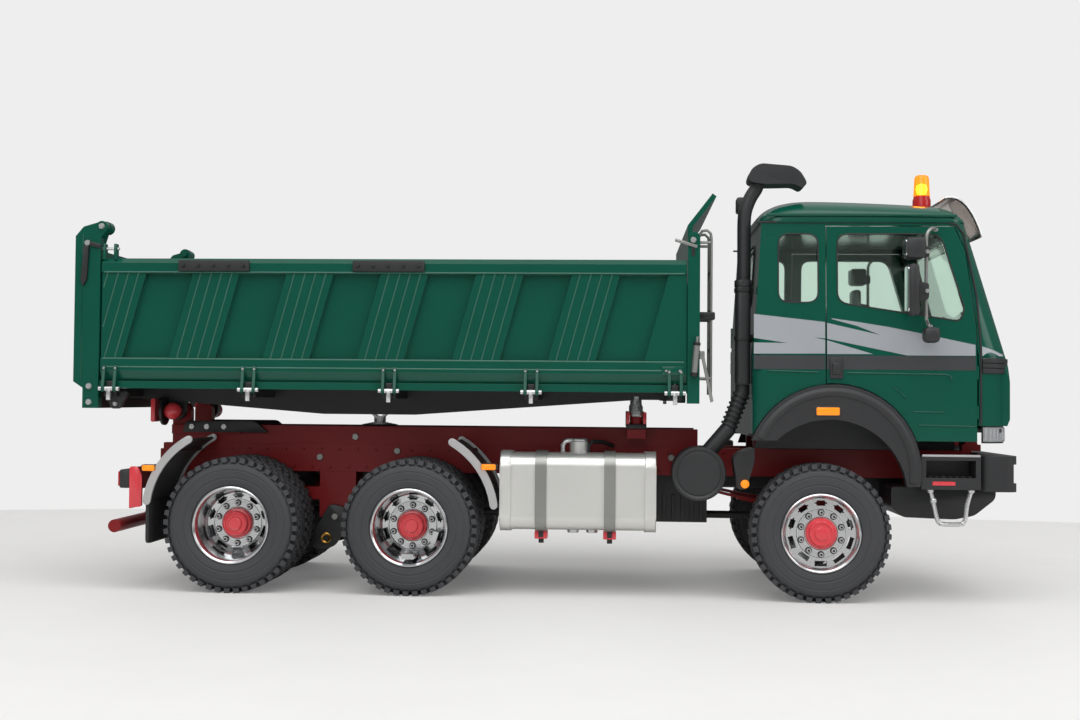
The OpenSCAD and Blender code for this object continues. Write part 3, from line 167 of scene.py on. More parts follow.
def finish(name, base, shade, grain_mm, rough, metal=0.0, bump_mm=0.0, coat=0.0, stretch=(1, 1, 1),
           edge_mm=0.0, shine=0.5, lift=0.0):
    """A surface with a grain of a real size, which its roughness and height follow.

    Its colour goes in clouds from base to shade, which is a colour or a share of the base.
    lift makes it paler to the eye than its light does.
    """
    mat, tree = new_material(name)
    base = tone(base)
    shade = tone(shade) if isinstance(shade, str) else tuple(shade * c for c in base[:3]) + (1.0,)
    place = add(tree, "ShaderNodeTexCoord")
    spread = add(tree, "ShaderNodeMapping", {"Vector": place.outputs["Object"], "Scale": stretch})
    grain = noise(tree, spread.outputs["Vector"], grain_mm, 4.0, 0.6)
    cloud = noise(tree, place.outputs["Object"], CLOUD_MM, 3.0)
    feeds = {"Base Color": tinted(tree, cloud, base, shade), "Roughness": span(tree, grain, *rough),
             "Metallic": metal, "Coat Weight": coat, "Coat Roughness": 0.05, "Specular IOR Level": shine}
    if edge_mm:
        feeds["Normal"] = add(tree, "ShaderNodeBevel", {"Radius": edge_mm * MM}, samples=4).outputs["Normal"]
    if bump_mm:
        height = {"Height": grain, "Distance": bump_mm * MM, "Strength": 1.0}
        height.update({"Normal": feeds["Normal"]} if edge_mm else {})
        feeds["Normal"] = add(tree, "ShaderNodeBump", height).outputs["Normal"]
    if lift:
        pale = span(tree, straight_sight(tree)[1], 0.0, lift)
        feeds.update({"Emission Color": linear("#ffffff"), "Emission Strength": pale})
    return end_material(mat, feeds)


def clear(name, colour, rough, glow=0.0, density=1.0):
    """A clear moulding or pane: coloured, with dust that varies its gloss, and lit from within by glow."""
    mat, tree = new_material(name)
    colour = linear(colour)
    place = add(tree, "ShaderNodeTexCoord")
    dust = noise(tree, place.outputs["Object"], DUST_MM, 3.0)
    return end_material(mat, {"Base Color": colour, "Roughness": span(tree, dust, rough, rough * 2),
                              "Transmission Weight": density, "IOR": 1.45, "Emission Color": colour,
                              "Emission Strength": glow})


def turned(name, base, shade, rough, bump_mm):
    """Metal off the lathe: fine rings about the axle, from the mesh's own attribute."""
    mat, tree = new_material(name)
    ring = add(tree, "ShaderNodeAttribute", attribute_name="turn_mm")
    cut = add(tree, "ShaderNodeTexNoise",
              {"W": ring.outputs["Fac"], "Scale": 1 / LATHE_RING_MM, "Detail": 2.0}, noise_dimensions="1D")
    depth = cut.outputs["Fac"]
    bump = add(tree, "ShaderNodeBump", {"Height": depth, "Distance": bump_mm * MM})
    return end_material(mat, {"Base Color": tinted(tree, depth, tone(base), tone(shade)), "Metallic": 1.0,
                              "Roughness": span(tree, depth, *rough), "Normal": bump.outputs["Normal"]})


FINISHES = {  # finish: the record's slot, how it is made, and its looks
    # Baked enamel, sprayed: deep gloss with a trace of orange peel.
    "green_enamel": ("green_paint", finish, dict(
        base="body", shade=0.8, grain_mm=1.6, rough=(0.14, 0.24), bump_mm=0.012, coat=0.15,
        edge_mm=0.45, shine=0.3)),
    # The same enamel on the beads, paler as a painted highlight where they catch the light, and a little
    # dull.
    "rubbed_enamel": ("green_paint", finish, dict(
        base="#336a5a", shade="#265b4a", grain_mm=1.6, rough=(0.3, 0.42), coat=0.1)),
    # Silver lacquer with fine flake, under clear coat.
    "silver_lacquer": ("alloy", finish, dict(
        base="#b3b7bd", shade="#a8acb2", grain_mm=0.7, rough=(0.25, 0.4), metal=0.35, coat=0.4)),
    # Dark grey lacquer of the belt line.
    "slate_lacquer": ("satin_black", finish, dict(
        base="#3d3f42", shade="#333538", grain_mm=1.2, rough=(0.3, 0.42), coat=0.2)),
    # Enamel on steel rails: satin, a little dusty.
    "frame_enamel": ("frame_red", finish, dict(
        base="chassis", shade=0.72, grain_mm=2.2, rough=(0.28, 0.45), bump_mm=0.02, coat=0.05, edge_mm=0.35,
        shine=0.25)),
    # Gloss enamel on the hub caps.
    "hub_enamel": ("frame_red", finish, dict(
        base="hub", shade="#cf3a42", grain_mm=1.4, rough=(0.16, 0.28), coat=0.3)),
    # Moulded ABS, fine spark-eroded grain: soft wide highlight.
    "black_abs": ("satin_black", finish, dict(
        base="#2c2d2f", shade="#232426", grain_mm=0.5, rough=(0.38, 0.55), bump_mm=0.03, edge_mm=0.5)),
    # Satin black paint on steel.
    "black_steel": ("satin_black", finish, dict(
        base="#232425", shade="#1a1b1c", grain_mm=1.4, rough=(0.35, 0.5), bump_mm=0.02, edge_mm=0.35)),
    # Black rubber mouldings: dull, slightly grey.
    "trim_rubber": ("satin_black", finish, dict(
        base="#1f2021", shade="#28292a", grain_mm=0.8, rough=(0.55, 0.75), bump_mm=0.04)),
    # Tyre rubber: grey bloom, rough to the touch.
    "tyre_rubber": ("tyre", finish, dict(
        base="#343538", shade="#3f4043", grain_mm=0.9, rough=(0.55, 0.78), bump_mm=0.07)),
    # Brushed aluminium sheet, rubbed along the truck.
    "brushed_aluminium": ("alloy", finish, dict(
        base="#e6e6e2", shade="#dadad6", grain_mm=0.8, rough=(0.3, 0.46), metal=0.75, bump_mm=0.01,
        stretch=(0.04, 1, 1), edge_mm=0.5)),
    # Rolled grey steel of the straps and brackets.
    "grey_steel": ("steel", finish, dict(
        base="#a3a4a0", shade="#8d8e8b", grain_mm=0.9, rough=(0.3, 0.45), metal=0.7, bump_mm=0.01,
        edge_mm=0.3)),
    # Bright zinc-plated steel of pins and screws.
    "bright_steel": ("steel", finish, dict(
        base="#dcdddd", shade="#c6c8c9", grain_mm=0.6, rough=(0.2, 0.34), metal=0.75)),
    # Silver paint on the fender edges.
    "silver_paint": ("alloy", finish, dict(
        base="#b9b8b8", shade="#a8a8a9", grain_mm=0.9, rough=(0.35, 0.5), metal=0.3, coat=0.15, edge_mm=0.3)),
    # Turned brass of the bogie bushes.
    "turned_brass": ("steel", finish, dict(
        base="#c79a4b", shade="#a87e38", grain_mm=0.6, rough=(0.25, 0.4), metal=1.0)),
    # Polished aluminium of the rims: bright, with rings that catch the light.
    "turned_aluminium": ("alloy", turned, dict(
        base="#d9dadb", shade="#b7b9bb", rough=(0.12, 0.3), bump_mm=0.02)),
    # Woven seat cloth and moulded dashboard in the cab.
    "cab_trim": ("satin_black", finish, dict(
        base="#3a3b3d", shade="#2b2c2e", grain_mm=0.7, rough=(0.6, 0.8), bump_mm=0.08)),
    # Silvered glass of the mirrors.
    "mirror_glass": ("alloy", finish, dict(
        base="#dfe3e5", shade="#d3d8da", grain_mm=6.0, rough=(0.02, 0.06), metal=1.0)),
    # Tinted safety glass.
    "window_glass": ("glass", clear, dict(colour="#e4f3ea", rough=0.02)),
    # Smoked acrylic of the sun visor, pale in tint: partly its own colour, partly a painted reflection of the
    # bright room.
    "smoked_acrylic": ("smoked", clear, dict(colour="#cbc4c0", rough=0.05)),
    # Amber acrylic lens with a lamp behind it.
    "amber_lens": ("lamp_amber", clear, dict(colour="#f08a1c", rough=0.12, glow=0.7, density=0.35)),
    # Thin amber dome of the beacon, and the lit bulb inside it.
    "beacon_lens": ("lamp_amber", clear, dict(colour="#ff9a1f", rough=0.08, glow=0.35, density=0.75)),
    "lit_bulb": ("lamp_amber", clear, dict(colour="#ffd75a", rough=0.2, glow=5.0, density=0.2)),
    # Red acrylic lens.
    "red_lens": ("frame_red", clear, dict(colour="#c01f1f", rough=0.12, glow=0.1, density=0.35)),
    # Clear ribbed lens of the headlamps.
    "clear_lens": ("lamp_clear", clear, dict(colour="#eef2f4", rough=0.06, density=0.7)),
    # Matt white laminate of the table: its colour lies in faint clouds.
    "white_laminate": (None, finish, dict(
        base="#e0dfdd", shade="#dbdad8", grain_mm=30.0, rough=(0.5, 0.6), lift=0.12)),
}
made_finishes = {}


def surface(kind):
    """The material of a finish, made once."""
    if kind not in made_finishes:
        _, make, looks = FINISHES[kind]
        made_finishes[kind] = make(kind, **looks)
    return made_finishes[kind]


# OUTLINES

def arc(x, z, radius, start, end, count=20):
    """Points on a circle between two angles in degrees."""
    angles = [math.radians(start + (end - start) * k / count) for k in range(count + 1)]
    return [(x + radius * math.cos(a), z + radius * math.sin(a)) for a in angles]


def band(x, z, r0, r1, start, end):
    """Curved band between two radii, with round ends."""
    mid, half = (r0 + r1) / 2, (r1 - r0) / 2
    ends = [(x + mid * math.cos(math.radians(a)), z + mid * math.sin(math.radians(a))) for a in (start, end)]
    return (arc(x, z, r1, start, end) + arc(*ends[1], half, end, end + 180, 8)[1:-1]
            + arc(x, z, r0, end, start) + arc(*ends[0], half, start + 180, start + 360, 8)[1:-1])


def rectangle(p0, q0, p1, q1):
    """Four corners, from the first one round."""
    return [(p0, q0), (p1, q0), (p1, q1), (p0, q1)]


def ball(radius, start, step):
    """Profile of a ball, from an angle in degrees up to its top."""
    angles = [math.radians(a) for a in range(start, 91, step)]
    return [(radius * math.cos(a), radius * math.sin(a)) for a in angles]


def pulled(a, pull, b, count):
    """Points on a bend from a to b, pulled towards a third point."""
    shares = [k / count for k in range(count + 1)]
    return [(1 - t) ** 2 * a + 2 * t * (1 - t) * pull + t * t * b for t in shares]


def round_corner(points, i, radius, count):
    """Points of one rounded corner of a closed outline."""
    here = Vector(points[i])
    before, after = Vector(points[i - 1]), Vector(points[(i + 1) % len(points)])
    reach = min(radius, (before - here).length * 0.45, (after - here).length * 0.45)
    a, b = here + (before - here).normalized() * reach, here + (after - here).normalized() * reach
    return [tuple(p) for p in pulled(a, here, b, count)]


def rounded(points, radius, count=5):
    """A closed outline with its corners rounded."""
    return [p for i in range(len(points)) for p in round_corner(points, i, radius, count)]


def corner_fills(points, radius):
    """Outlines that fill the sharp corners of an opening out to the rounded ones."""
    return [[points[i]] + round_corner(points, i, radius, 8) for i in range(len(points))]


def curve(points, steps=4):
    """A smooth line through points."""
    line = [Vector(p) for p in points]
    out = []
    for i in range(len(line) - 1):
        before, a, b, after = line[max(i - 1, 0)], line[i], line[i + 1], line[min(i + 2, len(line) - 1)]
        for k in range(steps):
            t = k / steps
            out.append(0.5 * (2 * a + (b - before) * t + (2 * before - 5 * a + 4 * b - after) * t ** 2
                              + (3 * a - before - 3 * b + after) * t ** 3))
    return out + [line[-1]]


# SOLIDS

class Solid:
    """Collects closed shapes in millimetres and makes them one piece. way is the side that they lie on."""

    def __init__(self, way=1):
        self.bm = bmesh.new()
        self.way = way

    def place(self, at):
        """A place on the side of the truck that is being built."""
        return at[0], self.way * at[1], at[2]

    def soften(self, verts, width):
        """Rounds the edges between the given points."""
        if width:
            chosen = set(verts)
            edges = [e for e in self.bm.edges if e.verts[0] in chosen and e.verts[1] in chosen]
            bmesh.ops.bevel(self.bm, geom=edges, offset=width, segments=2, profile=0.5, affect="EDGES",
                            clamp_overlap=True)

    def box(self, lo, hi, edge=0.3):
        """Block between two corners, with rounded edges."""
        lo, hi = self.place(lo), self.place(hi)
        low = [min(a, b) for a, b in zip(lo, hi)]
        high = [max(a, b) for a, b in zip(lo, hi)]
        verts = bmesh.ops.create_cube(self.bm, size=1)["verts"]
        for v in verts:
            v.co = Vector([(a + b) / 2 + c * (b - a) for a, b, c in zip(low, high, v.co)])
        self.soften(verts, edge)
        return self

    def prism(self, outline, axis, start, end, edge=0.0, lean=None):
        """Outline pushed along an axis. lean moves a point of it, as on a wall that isn't upright."""
        rings = []
        for along in (start, end):
            ring = []
            for p, q in outline:
                at = {"x": (along, p, q), "y": (p, along, q), "z": (p, q, along)}[axis]
                ring.append(self.bm.verts.new(self.place(lean(at) if lean else at)))
            rings.append(ring)
        n = len(outline)
        for i in range(n):
            self.bm.faces.new((rings[0][i], rings[0][(i + 1) % n], rings[1][(i + 1) % n], rings[1][i]))
        self.bm.faces.new(rings[0][::-1])
        self.bm.faces.new(rings[1])
        self.soften(rings[0] + rings[1], edge)
        return self

    def lathe(self, profile, centre, axis="y", steps=64, closed=True, way=1):
        """Profile of (radius, distance along the axis), turned about a centre."""
        across = way * self.way
        middle = Vector(self.place(centre))
        rings = []
        for radius, along in profile:
            ring = []
            for k in range(steps):
                a = 2 * math.pi * k / steps
                p, q = radius * math.cos(a), radius * math.sin(a)
                spot = {"x": (way * along, p, q), "y": (p, across * along, q), "z": (p, q, way * along)}[axis]
                ring.append(self.bm.verts.new(middle + Vector(spot)))
            rings.append(ring)
        last = len(rings) if closed else len(rings) - 1
        for i in range(last):
            a, b = rings[i], rings[(i + 1) % len(rings)]
            for k in range(steps):
                self.bm.faces.new((a[k], a[(k + 1) % steps], b[(k + 1) % steps], b[k]))
        return self

    def skin(self, places):
        """Joins closed rings of places in a row, and caps both ends."""
        rings = [[self.bm.verts.new(self.place(at)) for at in ring] for ring in places]
        n = len(rings[0])
        for a, b in zip(rings, rings[1:]):
            for k in range(n):
                self.bm.faces.new((a[k], a[(k + 1) % n], b[(k + 1) % n], b[k]))
        self.bm.faces.new(rings[0][::-1])
        self.bm.faces.new(rings[-1])
        return self

    def tube(self, path, radius, sides=10):
        """Round rod along a path of points."""
        points = [Vector(self.place(p)) for p in path]
        rings = []
        side = None
        for i, p in enumerate(points):
            ahead = (points[min(i + 1, len(points) - 1)] - points[max(i - 1, 0)]).normalized()
            if side is None:
                side = ahead.orthogonal().normalized()
            side = (side - ahead * side.dot(ahead)).normalized()
            up = ahead.cross(side)
            ring = [p + radius * (side * math.cos(t) + up * math.sin(t))
                    for t in (2 * math.pi * k / sides for k in range(sides))]
            rings.append([(v.x, self.way * v.y, v.z) for v in ring])
        return self.skin(rings)

    def boxes(self, rows):
        """Blocks, from rows of two corners and the width of the rounded edges."""
        for lo, hi, edge in rows:
            self.box(lo, hi, edge)
        return self

    def flats(self, rows, axis="y"):
        """Flat plates, from rows of outline, corner radius, start, end and the width of the rounded edges."""
        for outline, radius, start, end, edge in rows:
            self.prism(rounded(outline, radius) if radius else outline, axis, start, end, edge)
        return self

    def tubes(self, rows):
        """Round rods, from rows of path, radius and number of sides."""
        for path, radius, sides in rows:
            self.tube(path, radius, sides)
        return self

    def bead(self, path, radius):
        """Round bead along a closed path."""
        return self.tube(list(path) + list(path[:2]), radius)

    def mesh(self, name):
        """The shapes as one mesh in metres, with their faces outwards."""
        bmesh.ops.recalc_face_normals(self.bm, faces=self.bm.faces)
        bmesh.ops.scale(self.bm, vec=(MM, MM, MM), verts=self.bm.verts)
        made = bpy.data.meshes.new(name)
        self.bm.to_mesh(made)
        self.bm.free()
        return made

    def piece(self, name, body, kind, crease=35, replaces=(), rings_about=None, slot=None):
        """Makes the piece, which rides on a body."""
        bmesh.ops.remove_doubles(self.bm, verts=self.bm.verts, dist=1e-4)
        bmesh.ops.dissolve_degenerate(self.bm, edges=self.bm.edges, dist=1e-5)
        return settle(name, self.mesh(name), body, kind, crease, replaces, rings_about)


def settle(name, mesh, body, kind, crease=35, replaces=(), rings_about=None):
    """Puts a finished mesh into the scene as a piece of the part, with its finish's material."""
    mesh.shade_smooth()
    mesh.set_sharp_from_angle(angle=math.radians(crease))
    if rings_about:
        turn = mesh.attributes.new("turn_mm", "FLOAT", "POINT")
        for v, value in zip(mesh.vertices, turn.data):
            value.value = math.hypot(v.co.x / MM - rings_about[0], v.co.z / MM - rings_about[1])
    mesh.materials.clear()
    mesh.materials.append(surface(kind))
    piece = bpy.data.objects.new(name, mesh)
    bpy.context.scene.collection.objects.link(piece)
    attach(piece, body)
    if replaces:
        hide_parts(*replaces)
    return piece


def solids(count, way=1):
    """Empty solids for one side of the truck."""
    return [Solid(way) for _ in range(count)]


def both_sides(*shared):
    """Each side's name and way in turn. What the shared solids get meanwhile lies on that side."""
    for side, way in SIDES.items():
        for solid in shared:
            solid.way = way
        yield side, way
    for solid in shared:
        solid.way = 1


def outward(points, ways=tuple(SIDES.values())):
    """Places on both sides or on one, each with the way out from the truck's middle."""
    return [((x, way * y, z), (0, way, 0)) for way in ways for x, y, z in points]


# REPEATS, made by geometry nodes

def new_tree(name, inputs):
    """An empty geometry tree with named inputs, and its input node."""
    tree = bpy.data.node_groups.new(name, "GeometryNodeTree")
    tree.interface.new_socket("Geometry", in_out="INPUT", socket_type="NodeSocketGeometry")
    for label, kind in inputs:
        tree.interface.new_socket(label, in_out="INPUT", socket_type="NodeSocket" + kind)
    tree.interface.new_socket("Geometry", in_out="OUTPUT", socket_type="NodeSocketGeometry")
    return tree, add(tree, "NodeGroupInput")


def end_tree(tree, start, instances):
    """Makes the instances real and gives them the material."""
    real = add(tree, "GeometryNodeRealizeInstances", {"Geometry": instances})
    dressed = add(tree, "GeometryNodeSetMaterial",
                  {"Geometry": real.outputs["Geometry"], "Material": start.outputs["Material"]})
    add(tree, "NodeGroupOutput", {"Geometry": dressed.outputs["Geometry"]})
    return tree


def stud_tree():
    """A chamfered head on every point of the base, along the way that the point faces."""
    if "stud_heads" in bpy.data.node_groups:
        return bpy.data.node_groups["stud_heads"]
    tree, start = new_tree("stud_heads", [("Head radius", "Float"), ("Head height", "Float"),
                                          ("Sides", "Int"), ("Crown", "Float"), ("Material", "Material")])
    top = add(tree, "ShaderNodeMath", {0: start.outputs["Head radius"], 1: start.outputs["Crown"]},
              operation="MULTIPLY")
    head = add(tree, "GeometryNodeMeshCone",
               {"Vertices": start.outputs["Sides"], "Radius Bottom": start.outputs["Head radius"],
                "Radius Top": top.outputs["Value"], "Depth": start.outputs["Head height"]})
    facing = add(tree, "GeometryNodeInputNamedAttribute", {"Name": "facing"}, data_type="FLOAT_VECTOR")
    turn = add(tree, "FunctionNodeAlignRotationToVector", {"Vector": facing.outputs["Attribute"]}, axis="Z")
    placed = add(tree, "GeometryNodeInstanceOnPoints",
                 {"Points": start.outputs["Geometry"], "Instance": head.outputs["Mesh"],
                  "Rotation": turn.outputs["Rotation"]})
    return end_tree(tree, start, placed.outputs["Instances"])


def lug_tree():
    """A row of tapered blocks round a wheel, each on a point of the base and turned to face outwards."""
    if "tyre_lugs" in bpy.data.node_groups:
        return bpy.data.node_groups["tyre_lugs"]
    tree, start = new_tree("tyre_lugs", [("Length", "Float"), ("Width", "Float"), ("Height", "Float"),
                                         ("Taper", "Float"), ("Material", "Material")])
    size = add(tree, "ShaderNodeCombineXYZ", {"X": start.outputs["Length"], "Y": start.outputs["Width"],
                                              "Z": start.outputs["Height"]})
    block = add(tree, "GeometryNodeMeshCube", {"Size": size.outputs["Vector"]})
    spot = add(tree, "GeometryNodeInputPosition")
    parts = add(tree, "ShaderNodeSeparateXYZ", {"Vector": spot.outputs["Position"]})
    above = add(tree, "FunctionNodeCompare", {"A": parts.outputs["Z"], "B": 0.0}, operation="GREATER_THAN")
    slim = add(tree, "ShaderNodeCombineXYZ",
               {"X": start.outputs["Taper"], "Y": start.outputs["Taper"], "Z": 1.0})
    drawn = add(tree, "ShaderNodeVectorMath", {0: spot.outputs["Position"], 1: slim.outputs["Vector"]},
                operation="MULTIPLY")
    tapered = add(tree, "GeometryNodeSetPosition", {"Geometry": block.outputs["Mesh"],
                                                    "Selection": above.outputs["Result"],
                                                    "Position": drawn.outputs["Vector"]})
    turn = add(tree, "GeometryNodeInputNamedAttribute", {"Name": "turned"}, data_type="FLOAT_VECTOR")
    placed = add(tree, "GeometryNodeInstanceOnPoints",
                 {"Points": start.outputs["Geometry"], "Instance": tapered.outputs["Geometry"],
                  "Rotation": turn.outputs["Attribute"]})
    return end_tree(tree, start, placed.outputs["Instances"])


def repeat(name, tree, points, attribute, values):
    """Runs a tree on a cloud of points, each with a vector, and returns the plain mesh."""
    base = bpy.data.meshes.new(name + "_points")
    base.from_pydata([Vector(p) * MM for p, _ in points], [], [])
    held = base.attributes.new(attribute, "FLOAT_VECTOR", "POINT")
    for (_, way), slot in zip(points, held.data):
        slot.vector = way
    host = bpy.data.objects.new(name + "_host", base)
    bpy.context.scene.collection.objects.link(host)
    grown = host.modifiers.new("repeat", "NODES")
    grown.node_group = tree
    for item in tree.interface.items_tree:
        if item.in_out == "INPUT" and item.name in values:
            grown[item.identifier] = values[item.name]
    view = host.evaluated_get(bpy.context.evaluated_depsgraph_get())
    mesh = bpy.data.meshes.new_from_object(view)
    mesh.name = name
    host.modifiers.remove(grown)
    bpy.data.objects.remove(host)
    bpy.data.meshes.remove(base)
    return mesh


def studs(name, body, kind, points, radius, height, sides=10, crown=0.8):
    """Screw heads, nuts or rivets on points in millimetres, each with the way it faces."""
    mesh = repeat(name, stud_tree(), points, "facing",
                  {"Head radius": radius * MM, "Head height": height * MM, "Sides": sides, "Crown": crown,
                   "Material": surface(kind)})
    return settle(name, mesh, body, kind, 40)


def socket_screws(name, socket_name, body, kind, points, head, socket):
    """Screws with dark hexagon sockets, each a dark stud on the head: painted shade in the recess.

    head: radius, height and crown. socket: radius, depth and place along the screw.
    """
    studs(name, body, kind, points, head[0], head[1], 20, head[2])
    radius, depth, out = socket
    spots = [(Vector(p) + Vector(w) * out, w) for p, w in points]
    # Dark studs stand for the sockets: painted shade in the hexagon recesses.
    studs(socket_name, body, "black_steel", spots, radius, depth, 6, 1.0)


# WHEELS

WHEELS = {  # body: (axle along X, middles of its tyres across, tyre node, rim node)
    "wheel_front": (172.5, (71.5,), "tyre_front", "rim_front"),
    "wheels_mid": (-79.0, (71.5, 44.0), "tyres_mid", "rims_mid"),
    "wheels_rear": (-190.5, (71.5, 44.0), "tyres_rear", "rims_rear"),
}
AXLE_Z = 42.0
TYRE_R = 42.0
LUG_ROWS = {  # row: (middle across, sinking, turn in lugs, turn of either row, length in pitches, width)
    "shoulder": (8.9, 0.2, 0.0, 0.25, 0.6, 6.5),
    "tread": (2.6, 0.0, 0.5, 0.25, 0.68, 4.6),
}
LUG_TAPER = 0.86
LUG_ROOT = 0.4  # how deep a lug reaches into the carcass
# Profiles of radius and distance out from the tyre's middle.
TYRE_WALL = [(22.5, 9.9), (24.2, 10.4), (24.8, 11.6), (26.6, 12.2), (28.6, 12.45), (29.0, 12.25),
             (29.5, 12.25), (29.9, 12.5), (33.6, 12.5), (34.0, 12.3), (34.5, 12.3), (34.9, 12.45),
             (36.6, 12.1), (38.0, 11.4), (39.0, 10.2), (39.4, 8.6)]
FRONT_RIM = [(24.0, 11.5), (23.3, 11.9), (22.4, 11.3), (21.7, 10.0), (21.0, 9.2), (15.0, 9.2), (14.6, 9.7),
             (10.2, 9.7), (9.8, 9.2), (4.2, 9.2), (4.2, -10.5), (10.2, -10.5), (10.2, 6.5), (21.3, 6.5),
             (21.3, -11.5), (24.0, -11.5), (24.0, -10.0), (22.5, -10.0), (22.5, 10.0), (24.0, 10.0)]
TWIN_OUTER = [(24.0, 11.5), (23.3, 11.9), (22.4, 11.2), (21.8, 9.6), (21.3, 7.0), (20.9, -2.6), (20.2, -4.8),
              (19.2, -6.5), (15.4, -7.0), (14.8, -6.5), (10.2, -6.5), (9.8, -7.0), (4.2, -7.0), (4.2, -35.0),
              (10.2, -35.0), (10.2, -9.5), (19.0, -9.5), (21.3, -11.5), (24.0, -11.5), (24.0, -10.0),
              (22.5, -10.0), (22.5, 10.0), (24.0, 10.0)]
TWIN_INNER = [(21.3, -11.5), (24.0, -11.5), (24.0, -10.0), (22.5, -10.0), (22.5, 10.0), (24.0, 10.0),
              (24.0, 11.5), (21.3, 11.5), (21.3, 9.5), (10.6, 9.5), (10.6, 7.0), (21.3, 7.0)]
HUB_CAP = [(9.4, 0.0), (9.4, 1.6), (8.9, 2.2), (7.9, 2.4), (7.6, 3.6), (7.1, 4.2), (6.2, 4.3), (5.9, 3.9),
           (4.4, 3.9), (4.1, 4.6), (3.4, 4.9), (0.0, 4.9), (0.0, 0.0)]
# Twin or not: profile, radius of the slots' ring, place of the disc's face, stretch of the cap.
RIM_KINDS = {
    False: (FRONT_RIM, 18.3, 9.2, 1.1),
    True: (TWIN_OUTER, 17.4, -7.0, 1.75),
}
SLOTS, SLOT_L, SLOT_H, SLOT_R = 10, 7.4, 3.2, 1.2
CUTTER_L = 30  # longer than the disc is thick
NUTS, NUT_CIRCLE, NUT_OUT = 10, 12.7, 0.6
# Parts of a nut: piece, finish, place out from the nut's foot, share of its radius, height, sides, crown.
NUT_PARTS = (
    ("nut_seats", "black_steel", -0.05, 1.3, 0.25, 20, 0.95),
    ("nuts", "bright_steel", 0.0, 1.0, 2.2, 6, 0.86),
    ("nut_ends", "black_steel", 1.4, 0.55, 1.6, 10, 0.8),
)


def wheels():
    """Every wheel: body name, axle, middles across, way outwards, and its two nodes."""
    for side, way in SIDES.items():
        for body, (x, middles, tyre_node, rim_node) in WHEELS.items():
            nodes = f"{tyre_node}_{side}", f"{rim_node}_{side}"
            yield f"{body}_{side}", x, [way * y for y in middles], way, *nodes


def ring_points(x, y, radius, count, phase=0.0):
    """Points round an axle, each with its angle."""
    for k in range(count):
        a = 2 * math.pi * (k + phase) / count
        yield (x + radius * math.cos(a), y, AXLE_Z + radius * math.sin(a)), a


class TIPPER_OT_tyres(bpy.types.Operator):
    """Tyres with grooved walls and rows of lugs"""

    bl_idname = "tipper.tyres"
    bl_label = "Tyres"

    def execute(self, context):
        sizes = context.scene.truck_sizes
        lugs = sizes.shoulder_lugs
        tall = sizes.lug_height / MM
        pitch = 2 * math.pi * TYRE_R / lugs
        wall = TYRE_WALL + [(r, -y) for r, y in reversed(TYRE_WALL)]
        for body, x, middles, _, tyre_node, _ in wheels():
            carcass = Solid()
            for y in middles:
                carcass.lathe(wall, (x, y, AXLE_Z), steps=112)
            carcass.piece(f"{tyre_node}_carcass", body, "tyre_rubber", 25, replaces=(tyre_node,))
            for row, (out, sunk, turn, shift, length, width) in LUG_ROWS.items():
                radius = TYRE_R - tall / 2 - sunk
                points = [(spot, (0.0, math.pi / 2 - a, 0.0)) for y in middles for s in (-1, 1)
                          for spot, a in ring_points(x, y + s * out, radius, lugs, turn + shift * s)]
                name = f"{tyre_node}_{row}_lugs"
                mesh = repeat(name, lug_tree(), points, "turned",
                              {"Length": length * pitch * MM, "Width": width * MM,
                               "Height": (tall + LUG_ROOT) * MM, "Taper": LUG_TAPER,
                               "Material": surface("tyre_rubber")})
                settle(name, mesh, body, "tyre_rubber", 20)
        return {"FINISHED"}


def slotted(profile, centre, way, slot_r, name):
    """A turned rim with a ring of slots through its disc, as a mesh in metres."""
    rim = Solid().lathe(profile, centre, steps=96, way=way)
    cutters = Solid()
    for k in range(SLOTS):
        turn = Matrix.Rotation(2 * math.pi * k / SLOTS, 4, "Y")
        verts = bmesh.ops.create_cube(cutters.bm, size=1)["verts"]
        for v in verts:
            spot = Vector((v.co.x * SLOT_L, v.co.y * CUTTER_L, slot_r + v.co.z * SLOT_H))
            v.co = turn @ spot + Vector(centre)
        through = [e for e in cutters.bm.edges if e.verts[0] in verts
                   and abs((turn.inverted() @ (e.verts[0].co - e.verts[1].co)).y) > CUTTER_L / 2]
        bmesh.ops.bevel(cutters.bm, geom=through, offset=SLOT_R, segments=3, affect="EDGES")
    objects = []
    for part, label in ((rim, "turned"), (cutters, "slots")):
        objects.append(bpy.data.objects.new(f"{name}_{label}", part.mesh(f"{name}_{label}")))
        bpy.context.scene.collection.objects.link(objects[-1])
    cut = objects[0].modifiers.new("slots", "BOOLEAN")
    cut.object = objects[1]
    cut.operation = "DIFFERENCE"
    cut.solver = "EXACT"
    mesh = bpy.data.meshes.new_from_object(objects[0].evaluated_get(bpy.context.evaluated_depsgraph_get()))
    for o in objects:
        bpy.data.objects.remove(o)
    return mesh


